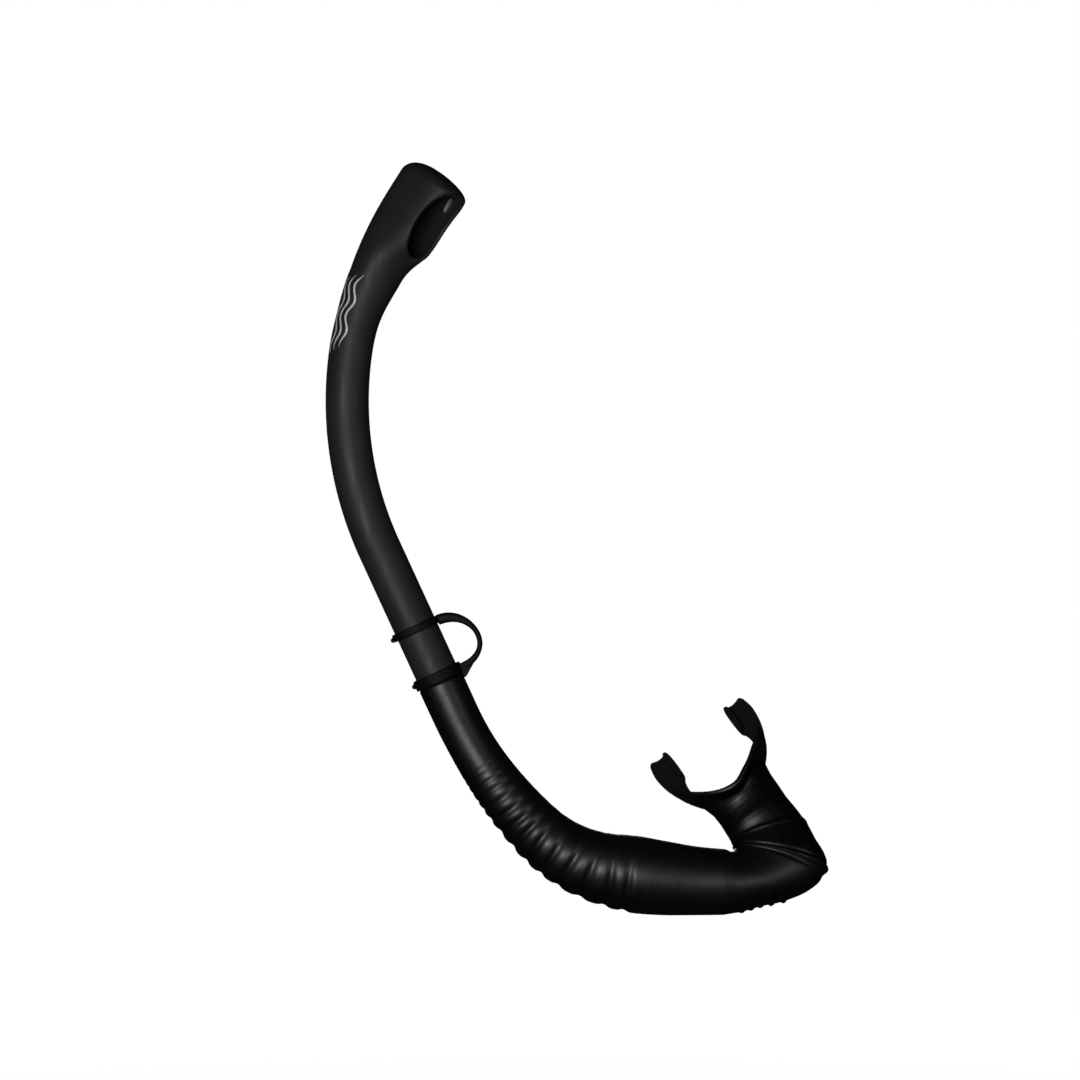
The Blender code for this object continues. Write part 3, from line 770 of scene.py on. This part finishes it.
def make_barrel(material):
    """The barrel's outer and inner faces with the scoop's opening between them."""
    outer = barrel_rows(0.0, SCOOP_TOP)
    inner = barrel_rows(BARREL_RADIUS - BORE_RADIUS, SCOOP_TOP - WALL)
    spigot = (
        (0.0, BORE_RADIUS + BORE_CHAMFER),
        (0.0, SPIGOT_RADIUS - SPIGOT_CHAMFER),
        (SPIGOT_CHAMFER, SPIGOT_RADIUS),
        (SHOULDER - SHOULDER_STEP, SPIGOT_RADIUS),
        (SHOULDER, BARREL_RADIUS - SHOULDER_CHAMFER),
        (SHOULDER + SHOULDER_CHAMFER, BARREL_RADIUS),
    )
    outer_all = np.concatenate([[round_row(*end) for end in spigot], outer[1:]])
    inner_all = np.concatenate([[round_row(BORE_CHAMFER, BORE_RADIUS)], inner[1:]])
    mesh = bmesh.new()

    def verts(grid):
        return [[mesh.verts.new(Vector(point * MM)) for point in row] for row in grid]

    def quad(a, b, c, d):
        corners = [a, b, c, d]
        if len(set(corners)) == 4:
            mesh.faces.new(corners)

    outer_verts = verts(outer_all)
    inner_verts = verts(inner_all)
    for grid in (outer_verts, inner_verts):
        for low, high in zip(grid, grid[1:]):
            for column in range(COLUMNS):
                quad(low[column], low[column + 1], high[column + 1], high[column])
        tip = mesh.verts.new(sum((vert.co for vert in grid[-1][:-1]), Vector()) / COLUMNS)
        for column in range(COLUMNS):
            mesh.faces.new((grid[-1][column], grid[-1][column + 1], tip))
    for column in range(COLUMNS):
        after = column + 1
        quad(outer_verts[0][column], outer_verts[0][after], inner_verts[0][after], inner_verts[0][column])
    first_outer = len(outer_all) - CROWN_STEPS - MOUTH_STEPS
    first_inner = len(inner_all) - CROWN_STEPS - MOUTH_STEPS
    for edge, beside in ((0, 1), (COLUMNS, COLUMNS - 1)):
        previous = None
        for row in range(MOUTH_STEPS + 1):
            a = outer_all[first_outer + row]
            b = inner_all[first_inner + row]
            arc = rim_arc(a[edge], b[edge], a[beside])
            line = [outer_verts[first_outer + row][edge]]
            line += [mesh.verts.new(Vector(point * MM)) for point in arc]
            line.append(inner_verts[first_inner + row][edge])
            if previous:
                for step in range(len(line) - 1):
                    quad(previous[step], previous[step + 1], line[step + 1], line[step])
            previous = line
    bmesh.ops.remove_doubles(mesh, verts=mesh.verts, dist=WELD_METRES)
    bmesh.ops.dissolve_degenerate(mesh, dist=SLIVER_METRES, edges=mesh.edges)
    bmesh.ops.recalc_face_normals(mesh, faces=mesh.faces)
    data = bpy.data.meshes.new("barrel_shell")
    mesh.to_mesh(data)
    mesh.free()
    made = finished("barrel_shell", data, material, sharp=50)
    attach(made, "barrel")
    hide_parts("barrel")


def make_scoop_rib(material):
    """The short upright rib on the scoop's inner wall."""
    point, forward, facing, across = barrel_frame(SCOOP_START)
    centre = point + facing * RIB_PLACE[0] + across * RIB_PLACE[1] + forward * RIB_PLACE[2]
    steps = 17
    rings = []
    for step in range(steps):
        turn = math.pi * (step + 0.5) / steps
        radius = RIB_HALF_DEPTH * math.sin(turn) ** 0.5
        middle = centre - forward * (RIB_HALF_LENGTH * math.cos(turn))
        rings.append(oval(middle, facing, across, radius, RIB_WIDTH_SHARE * radius, 24))
    made = plug("scoop_rib", rings, material)
    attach(made, "barrel")


def mark_edges(lane, middle, steps):
    """Both edges of one wavy line, as pairs of a distance along the barrel and an angle round it."""
    points = []
    for step in range(steps + 1):
        share = step / steps
        distance = SCOOP_START + MARK_START + MARK_LENGTH * share + MARK_STAGGER * lane
        swing = MARK_SWING * math.sin(2 * math.pi * (MARK_WAVES * share) + MARK_PHASE * lane)
        taper = min(1.0, MARK_TAPER * share, MARK_TAPER * (1 - share))
        width = MARK_HALF_WIDTH * taper + MARK_TIP
        for edge in (-width, width):
            points.append((distance, math.radians(middle + swing + edge) - SCOOP_TURN))
    return points


def make_mark(material):
    """Three wavy lines printed on the barrel's outer side."""
    steps = 72
    for lane, middle in enumerate(MARK_LANES):
        points = mark_edges(lane, middle, steps)
        low = [barrel_surface(distance, angle, MARK_SUNK, SCOOP_TOP) for distance, angle in points]
        high = [barrel_surface(distance, angle, -MARK_RAISED, SCOOP_TOP) for distance, angle in points]
        count = len(points)
        faces = []
        for step in range(steps):
            a = 2 * step
            faces.append((count + a, count + a + 1, count + a + 3, count + a + 2))
            faces.append((a, a + 2, a + 3, a + 1))
            faces.append((a, count + a, count + a + 2, a + 2))
            faces.append((a + 1, a + 3, count + a + 3, count + a + 1))
        faces.append((0, 1, count + 1, count))
        faces.append((count - 2, 2 * count - 2, 2 * count - 1, count - 1))
        made = new_object(f"wave_mark_{lane + 1}", low + high, faces, material, sharp=40)
        outward(made)
        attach(made, "barrel")


# ---- Keeper


def keeper_place(n, u, y):
    """A point of the keeper's frame in the snorkel's frame."""
    return along(BARREL_HEADING - math.pi / 2) * n + along(BARREL_HEADING) * u + AWAY * y


def keeper_band(height):
    """A soft ring round the barrel with a rounded section."""
    rings = []
    middle = (KEEPER_BORE + KEEPER_OUTER) / 2
    for step in range(BAND_STEPS):
        turn = 2 * math.pi * step / BAND_STEPS
        radius = middle + BAND_HALF_THICKNESS * squared(math.cos(turn), FIRM_SQUARE)
        rise = BAND_HALF_HEIGHT * squared(math.sin(turn), SOFT_SQUARE)
        centre = keeper_place(0, height + rise, 0)
        rings.append(oval(centre, along(BARREL_HEADING - math.pi / 2), AWAY, radius, radius, 96))
    return shell("band", rings, None)


def loop_point(t):
    """A point of the strap loop's middle line, which is one cubic curve."""
    weights = ((1 - t) ** 3, 3 * t * (1 - t) ** 2, 3 * t * t * (1 - t), t**3)
    return np.array([sum(w * p[axis] for w, p in zip(weights, LOOP_CURVE)) for axis in (0, 1)])


def keeper_loop():
    """The strap loop, thick at its upper root, and thinner and wider round its bow."""
    rings = []
    for step in range(LOOP_STEPS + 1):
        t = step / LOOP_STEPS
        middle = loop_point(t)
        slope = loop_point(min(t + 0.01, 1)) - loop_point(max(t - 0.01, 0))
        slope /= np.linalg.norm(slope)
        normal = np.array([-slope[1], slope[0]])
        thickness = LOOP_ROOT_THICKNESS - grown(t, *LOOP_THINNING) + grown(t, *LOOP_FOOT)
        half = LOOP_HALF_WIDTH * (LOOP_END_SHARE + (1 - LOOP_END_SHARE) * math.sin(math.pi * t))
        ring = []
        for turn in turns(24):
            offset = 0.5 * thickness * squared(math.cos(turn), SOFT_SQUARE) - LOOP_SHIFT
            n, u = middle + normal * offset
            ring.append(keeper_place(n, u, half * squared(math.sin(turn), SOFT_SQUARE)))
        rings.append(np.array(ring))
    return plug("loop", rings, None)


def keeper_tab(height):
    """A small rounded pull tab on the keeper's outer side."""
    rings = []
    for reach, radius in TAB_RINGS:
        centre = keeper_place(-reach, height, 0)
        rings.append(oval(centre, along(BARREL_HEADING), AWAY, radius, radius * TAB_WIDTH_SHARE, 24))
    return plug("tab", rings, None)


def make_keeper(material):
    """The strap keeper: its rings, the loop, the loop's foot and the tabs, as one moulding."""
    parts = [keeper_band(height) for height in KEEPER_RINGS]
    parts.append(keeper_band(KEEPER_RINGS[1] - LOWER_BAND_DROP))
    parts.append(keeper_loop())
    parts.append(slab("foot", rounded(FOOT_OUTLINE, 1), keeper_place, -FOOT_HALF_WIDTH, FOOT_HALF_WIDTH))
    parts += [keeper_tab(height - TAB_DROP) for height in KEEPER_RINGS]
    made = melt("strap_keeper", parts, KEEPER_GRID, material)
    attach(made, "keeper")
    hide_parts("keeper")


# ---- Hose


def hose_frame(distance):
    """The hose's axis point, its direction there and the direction of its inner side."""
    point, heading = walk(0.0, 0.0, BARREL_HEADING - math.pi, HOSE_BENDS, distance)
    return point, along(heading), along(heading + math.pi / 2)


def groove_places():
    """Where the hose's grooves lie along it: close together at first, then wider apart."""
    places = [GROOVE_START]
    pitch = GROOVE_PITCH
    while places[-1] + pitch < GROOVE_END:
        places.append(places[-1] + pitch)
        pitch = min(pitch * PITCH_GROWTH, WIDEST_PITCH)
    return places


GROOVES = groove_places()


def fold_depth(distance, angle):
    """How far the corrugated wall lies below its crests, at a place and an angle round it."""
    place = distance
    for height, lobes, phase, drift in FOLD_WANDER:
        place = place + height * np.sin(lobes * angle + phase + drift * distance)
    total = np.zeros_like(angle)
    for groove, following in zip(GROOVES, [*GROOVES[1:], None]):
        growth = grown(groove, *GROOVE_GROWTH)
        depth = FIRST_DEPTH + ADDED_DEPTH * growth
        width = FIRST_WIDTH + ADDED_WIDTH * growth
        total = np.maximum(total, ridge(place - groove, depth, width))
        if following:
            crease = groove + CREASE_PLACE * (following - groove)
            shallow = ridge(place - crease, CREASE_DEPTH * depth * growth, CREASE_WIDTH * width)
            total = np.maximum(total, shallow)
    sink = grown(distance, *FOLD_SINK) * (1 - grown(distance, *FOLD_SINK_END))
    around = FOLD_INNER_SHARE + (1 - FOLD_INNER_SHARE) * smooth((1 - np.cos(angle)) / FOLD_SPAN)
    return (total + sink) * around


def hose_ring(distance, inset=0.0):
    """A ring of the hose's wall, with its corrugations."""
    point, forward, inner_side = hose_frame(distance)
    angle = turns(COLUMNS)
    radius = between(HOSE_RADII, distance) - inset - fold_depth(distance, angle)
    across = (radius * np.cos(angle))[:, None]
    deep = (radius * np.sin(angle))[:, None]
    return point + inner_side * across + AWAY * deep


def fan_direction(angle):
    """The direction of the elbow's fan at an angle in degrees."""
    return along(math.radians(angle))


def fan_drift(angle):
    """How far the elbow has drifted away from the front at a fan angle."""
    return grown(angle, DRIFT_START, NECK_ANGLE - DRIFT_START, DRIFT)


def fan_ring(angle, inset=0.0, raised=0.0):
    """A ring of the elbow at a fan angle, leaning away from the front as the port does."""
    outward_way = fan_direction(angle)
    forward = fan_direction(angle + 90)
    lean = grown(angle, LEAN_START, MITRE - LEAN_START, LEAN)
    near = between(FAN_INNER, angle) + inset
    far = between(FAN_OUTER, angle) - inset
    deep = AWAY * math.cos(lean) - forward * math.sin(lean)
    centre = PIVOT + outward_way * ((near + far) / 2) + AWAY * fan_drift(angle)
    half = (far - near) / 2
    depth = between(FAN_DEPTH, angle) - inset
    return oval(centre, -outward_way, deep, half + raised, depth + raised)


def ring_normals(grid):
    """The outward direction at each point of a grid of rings."""
    ahead = np.gradient(grid, axis=0)
    around = np.roll(grid, -1, axis=1) - np.roll(grid, 1, axis=1)
    normal = np.cross(around, ahead)
    normal /= np.linalg.norm(normal, axis=2, keepdims=True)
    centre = grid.mean(axis=1, keepdims=True)
    if ((grid - centre) * normal).sum() < 0:
        normal = -normal
    return normal


def shade_with(made, normals, rows, margin):
    """Shades the corners in a piece's first rows with given directions, so that no seam shows there.

    Faces that reach more than the margin of rows past them keep their own shading.
    """
    data = made.data
    flat = normals.reshape(-1, 3)
    corner_vertex = np.zeros(len(data.loops), int)
    data.loops.foreach_get("vertex_index", corner_vertex)
    custom = np.zeros((len(data.loops), 3))
    shaded = rows * COLUMNS
    limit = shaded + margin * COLUMNS
    for face in data.polygons:
        corners = range(face.loop_start, face.loop_start + face.loop_total)
        if all(corner_vertex[corner] < limit for corner in corners):
            for corner in corners:
                if corner_vertex[corner] < shaded:
                    custom[corner] = flat[corner_vertex[corner]]
    data.normals_split_custom_set([tuple(normal) for normal in custom])


def port_rings():
    """The oval port inside the mouthpiece's cuff, as outer rings and inner rings."""
    inset = CUFF_WALL + PORT_GAP
    outer = [fan_ring(angle, inset) for angle in PORT_ANGLES]
    inner = [fan_ring(angle, inset + PORT_WALL) for angle in (PORT_BORE_START, *PORT_ANGLES)]
    return outer, inner


def elbow_rings():
    """The smooth stretch and the tight turn, with the bead round its open end."""
    rings = []
    inner = []
    for angle in np.linspace(TURN_START, MITRE, 96):
        gap = angle - MITRE
        relief = ridge(gap - BEAD[0], *BEAD[1:]) + ridge(gap - BEAD_HOLLOW[0], *BEAD_HOLLOW[1:])
        rings.append(fan_ring(angle, 0.0, relief))
        if angle < TURN_BORE_END:
            inner.append(fan_ring(angle, HOSE_WALL))
    return rings, inner


def hose_rings():
    """The hose's outer rings with the elbow's turn, their directions, its inner rings and their places."""
    even = np.arange(HOSE_TOP, ELBOW_START, ROW_STEP)
    fixed = (ELBOW_START, *SEAMS, CUFF_BORE_END, CUFF_BORE_END + 1)
    places = sorted({round(place, 3) for place in (*even, *fixed)})
    outer = []
    inner = []
    for place in places:
        ease = max(0.0, 1 - (place - HOSE_TOP) / LIP)
        outer.append(hose_ring(place, LIP * (1 - math.sqrt(max(0.0, 1 - ease**2))) * LIP_DEPTH))
        if place <= CUFF_BORE_END:
            point = along(BARREL_HEADING) * -place
            inner.append(oval(point, along(BARREL_HEADING - math.pi / 2), AWAY, CUFF_RADIUS, CUFF_RADIUS))
        else:
            inner.append(hose_ring(place, HOSE_WALL))
    turn_outer, turn_inner = elbow_rings()
    outer = np.array(outer + turn_outer)
    return places, outer, ring_normals(outer), np.array(inner + turn_inner)


def make_hose(material):
    """The sleeve, the pieces of the corrugated stretch and the elbow with its port."""
    places, outer, normals, inner = hose_rings()

    def stretch(name, start, end):
        rows = [row for row, place in enumerate(places) if start <= place <= end]
        part = slice(rows[0], rows[-1] + 1)
        made = shell(name, [*outer[part], *inner[part][::-1]], material, sharp=60)
        shade_with(made, normals[part], rows=len(rows), margin=0)
        return made

    sleeve = stretch("hose_sleeve", HOSE_TOP, SEAMS[0])
    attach(sleeve, "cuff")
    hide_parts("hose_cuff")
    for index, hinge in enumerate(HINGES):
        piece = stretch(f"bellows_{index + 1}", SEAMS[index], SEAMS[index + 1])
        start = hose_frame(hinge - SEAM + BLEND_INSET)[0] * MM
        end = hose_frame(hinge + SEAM - BLEND_INSET)[0] * MM
        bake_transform(piece)
        if index < len(HINGES) - 1:
            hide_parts(f"hose_fold_{index + 1}")
    first = places.index(SEAMS[-1])
    port_outer, port_inner = port_rings()
    body_outer = np.concatenate([outer[first:], port_outer])
    body_inner = np.concatenate([inner[first:], port_inner])
    made = shell("sump_elbow", [*body_outer, *body_inner[::-1]], material, sharp=50)
    shade_with(made, normals[first:], rows=4, margin=1)
    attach(made, "elbow")
    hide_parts("hose_elbow")


def make_grip_ribs(material):
    """The small moulded ribs across the elbow's underside."""
    steps = 28
    for index in range(GRIP_RIBS):
        angle = GRIP_START + index * GRIP_STEP
        way = fan_direction(angle)
        reach = between(FAN_OUTER, angle)
        depth = between(FAN_DEPTH, angle)
        half = (reach - between(FAN_INNER, angle)) / 2
        rings = []
        for step in range(steps + 1):
            end = -1 + 2 * step / steps
            y = GRIP_HALF_LENGTH * end
            sag = half * (1 - math.sqrt(max(0.0, 1 - (y / depth) ** 2)))
            height = GRIP_HEIGHT * math.sqrt(max(0.0, 1 - end * end)) + GRIP_EDGE
            centre = PIVOT + way * (reach - sag - GRIP_SUNK) + AWAY * (fan_drift(angle) + y)
            rings.append(oval(centre, way, fan_direction(angle + 90), height, GRIP_HALF_WIDTH, 20))
        made = plug(f"grip_rib_{index + 1}", rings, material)
        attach(made, "elbow")


# ---- Mouthpiece


def mouth_place(w, a, v):
    """A point of the mouthpiece's frame in the snorkel's frame."""
    forward = fan_direction(NECK_ANGLE + 90)
    lengthwise = forward * math.cos(LEAN) + AWAY * math.sin(LEAN)
    front = forward * math.sin(LEAN) - AWAY * math.cos(LEAN)
    return PIVOT + AWAY * DRIFT + fan_direction(NECK_ANGLE) * w + lengthwise * a + front * v


def neck_ring(a, centre, half_across, half_deep, curved):
    """A ring of the neck, bent to follow the lip shield by a share of the shield's curve."""
    ring = []
    for turn in turns(COLUMNS):
        w = centre - half_across * math.cos(turn)
        bend = curved * FLANGE_CURVE * (w - MOUTH_CENTRE) ** 2
        ring.append(mouth_place(w, a + bend, -half_deep * math.sin(turn)))
    return np.array(ring)


def neck_shell():
    """The cuff with its step at the collar, and the neck up into the lip shield."""
    outer = []
    for angle in np.linspace(CUFF_EDGE, NECK_START, 60):
        step = grown(angle, *COLLAR_STEP)
        edge = CUFF_EDGE_SINK * (1 - smooth((angle - CUFF_EDGE) / CUFF_EDGE_RUN))
        band = ridge(angle - CUFF_ANGLE - COLLAR_BAND[0], *COLLAR_BAND[1:])
        outer.append(fan_ring(angle, 0.0, band - step - edge))
    for ring in NECK_RINGS:
        outer.append(neck_ring(*ring))
    inner = [fan_ring(angle, CUFF_WALL) for angle in np.linspace(CUFF_EDGE, CUFF_ANGLE, 24)]
    inner += [fan_ring(angle, COLLAR_WALL) for angle in COLLAR_BORE_ANGLES]
    for a, curved in NECK_BORE_RINGS:
        inner.append(neck_ring(a, NECK_CENTRE, *NECK_BORE, curved))
    return shell("neck", [*outer, *inner[::-1]], None)


def flange_ring(share, offset):
    """A ring of the lip shield at a share of its size, from the airway's hole out to the rim."""
    ring = []
    for turn in turns(COLUMNS):
        c, s = math.cos(turn), math.sin(turn)
        rim_w = FLANGE_HALF_WIDTH * squared(c, FLANGE_CORNERS)
        rim_v = FLANGE_HALF_HEIGHT * squared(s, FLANGE_CORNERS)
        hole_w = NECK_CENTRE - MOUTH_CENTRE + NECK_BORE[0] * c
        hole_v = NECK_BORE[1] * s
        w = hole_w + (rim_w - hole_w) * share
        v = hole_v + (rim_v - hole_v) * share
        fuller = grown(w, *LOWER_FULLNESS) * (1 - grown(w, *LOWER_FULLNESS_END))
        a = FLANGE_BASE + FLANGE_CURVE * w * w + fuller + offset
        ring.append(mouth_place(MOUTH_CENTRE + w, a, v))
    return np.array(ring)


def flange_shell():
    """The curved lip shield, thick at the neck and thinner at its rounded rim."""
    front_rings = []
    back_rings = []
    for share in np.linspace(0, 1, 22):
        thick = FLANGE_THICKNESS - grown(share, *FLANGE_THINNING)
        edge = max(0.0, (share - FLANGE_RIM) / (1 - FLANGE_RIM))
        thick *= math.sqrt(max(0.04, 1 - edge**2))
        middle = FLANGE_MIDDLE + (FLANGE_THICKNESS - thick) * FLANGE_SHIFT
        front_rings.append(flange_ring(share, middle - thick / 2))
        back_rings.append(flange_ring(share, middle + thick / 2))
    return shell("flange", [*front_rings, *back_rings[::-1]], None)


def make_mouthpiece(material):
    """The cuff, the neck, the lip shield and both bite tabs with their lugs, as one moulding."""
    parts = [neck_shell(), flange_shell()]
    for sign in (-1, 1):

        def place(w, a, v, sign=sign):
            return mouth_place(MOUTH_CENTRE + sign * w, a, v)

        parts.append(slab("tab", rounded(BITE_OUTLINE, 2), place, -TAB_HALF_THICKNESS, TAB_HALF_THICKNESS))
        parts.append(slab("lug", rounded(LUG_OUTLINE, 2), place, -LUG_HALF_THICKNESS, LUG_HALF_THICKNESS))
    made = melt("mouthpiece_soft", parts, MOUTH_GRID, material)
    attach(made, "elbow")
    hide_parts("mouthpiece")


# ---- Studio


def mixed(tree, share, first, second):
    """A mix of two shaders by a share."""
    node = tree.nodes.new("ShaderNodeMixShader")
    for source, socket in zip((share, first, second), node.inputs):
        tree.links.new(source, socket)
    return node.outputs["Shader"]


def make_world():
    """A white backdrop that lights the object only a little."""
    world = bpy.data.worlds.new("studio")
    bpy.context.scene.world = world
    world.use_nodes = True
    tree = world.node_tree
    dim = tree.nodes["Background"]
    bright = tree.nodes.new("ShaderNodeBackground")
    for background, strength in ((dim, WORLD_LIGHT), (bright, 1.0)):
        background.inputs["Color"].default_value = (1, 1, 1, 1)
        background.inputs["Strength"].default_value = strength
    seen = tree.nodes.new("ShaderNodeLightPath").outputs["Is Camera Ray"]
    backdrop = mixed(tree, seen, dim.outputs["Background"], bright.outputs["Background"])
    tree.links.new(backdrop, tree.nodes["World Output"].inputs["Surface"])


def make_light(name, place, width, height, power):
    """A soft rectangular light that faces the object."""
    light = bpy.data.lights.new(name, "AREA")
    light.shape = "RECTANGLE"
    light.size = width
    light.size_y = height
    light.energy = power
    made = bpy.data.objects.new(name, light)
    made.location = place
    way = Vector(LIGHT_TARGET) - Vector(place)
    made.rotation_euler = way.to_track_quat("-Z", "Y").to_euler()
    bpy.context.scene.collection.objects.link(made)


def floor_look():
    """A pale floor, white farther out, that reflects little light onto the object."""
    material = bpy.data.materials.new("pale_floor")
    material.use_nodes = True
    tree = material.node_tree
    nodes = tree.nodes
    shader = nodes["Principled BSDF"]
    shader.inputs["Base Color"].default_value = (0.86, 0.86, 0.86, 1)
    shader.inputs["Roughness"].default_value = 0.9
    shader.inputs["Specular IOR Level"].default_value = 0.1
    glow = nodes.new("ShaderNodeEmission")
    place = nodes.new("ShaderNodeTexCoord")
    length = nodes.new("ShaderNodeVectorMath")
    length.operation = "LENGTH"
    tree.links.new(place.outputs["Object"], length.inputs[0])
    reach = nodes.new("ShaderNodeMapRange")
    reach.interpolation_type = "SMOOTHSTEP"
    for socket, number in zip(("From Min", "From Max", "To Min"), (*FLOOR_FADE, FLOOR_GLOW)):
        reach.inputs[socket].default_value = number
    tree.links.new(length.outputs["Value"], reach.inputs["Value"])
    pale = mixed(tree, reach.outputs["Result"], shader.outputs["BSDF"], glow.outputs["Emission"])
    dark = nodes.new("ShaderNodeBsdfDiffuse")
    dark.inputs["Color"].default_value = (0.05, 0.05, 0.05, 1)
    seen = nodes.new("ShaderNodeLightPath").outputs["Is Camera Ray"]
    surface = mixed(tree, seen, dark.outputs["BSDF"], pale)
    tree.links.new(surface, nodes["Material Output"].inputs["Surface"])
    return material


def make_studio():
    """The backdrop, the lights and the floor."""
    bpy.context.scene.view_settings.view_transform = "Standard"
    make_world()
    for light in LIGHTS:
        make_light(*light)
    ring = oval(np.zeros(3), along(0.0), AWAY, FLOOR_RADIUS, FLOOR_RADIUS, 96)
    floor = new_object("floor", ring, [tuple(range(len(ring)))], floor_look())
    floor.location = FLOOR_CENTRE


def make_camera():
    """Level with the object's middle and far off, so that the view is nearly without perspective."""
    lens = bpy.data.cameras.new("camera")
    lens.sensor_width = SENSOR_WIDTH
    lens.lens = SENSOR_WIDTH * -CAMERA_PLACE[1] / VIEW_WIDTH
    lens.clip_end = CAMERA_REACH
    made = bpy.data.objects.new("camera", lens)
    made.location = CAMERA_PLACE
    made.rotation_euler = (math.pi / 2, 0.0, 0.0)
    bpy.context.scene.collection.objects.link(made)
    bpy.context.scene.camera = made


def main():
    """Makes the camera, the studio and every piece."""
    make_camera()
    make_studio()
    hose = hose_look()
    make_barrel(barrel_look())
    make_scoop_rib(rib_highlight_look())
    make_mark(print_look())
    make_keeper(keeper_look())
    make_hose(hose)
    make_grip_ribs(hose)
    make_mouthpiece(mouth_look())
    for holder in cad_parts["port_insert"].material_slots:
        holder.material = insert_look()


main()
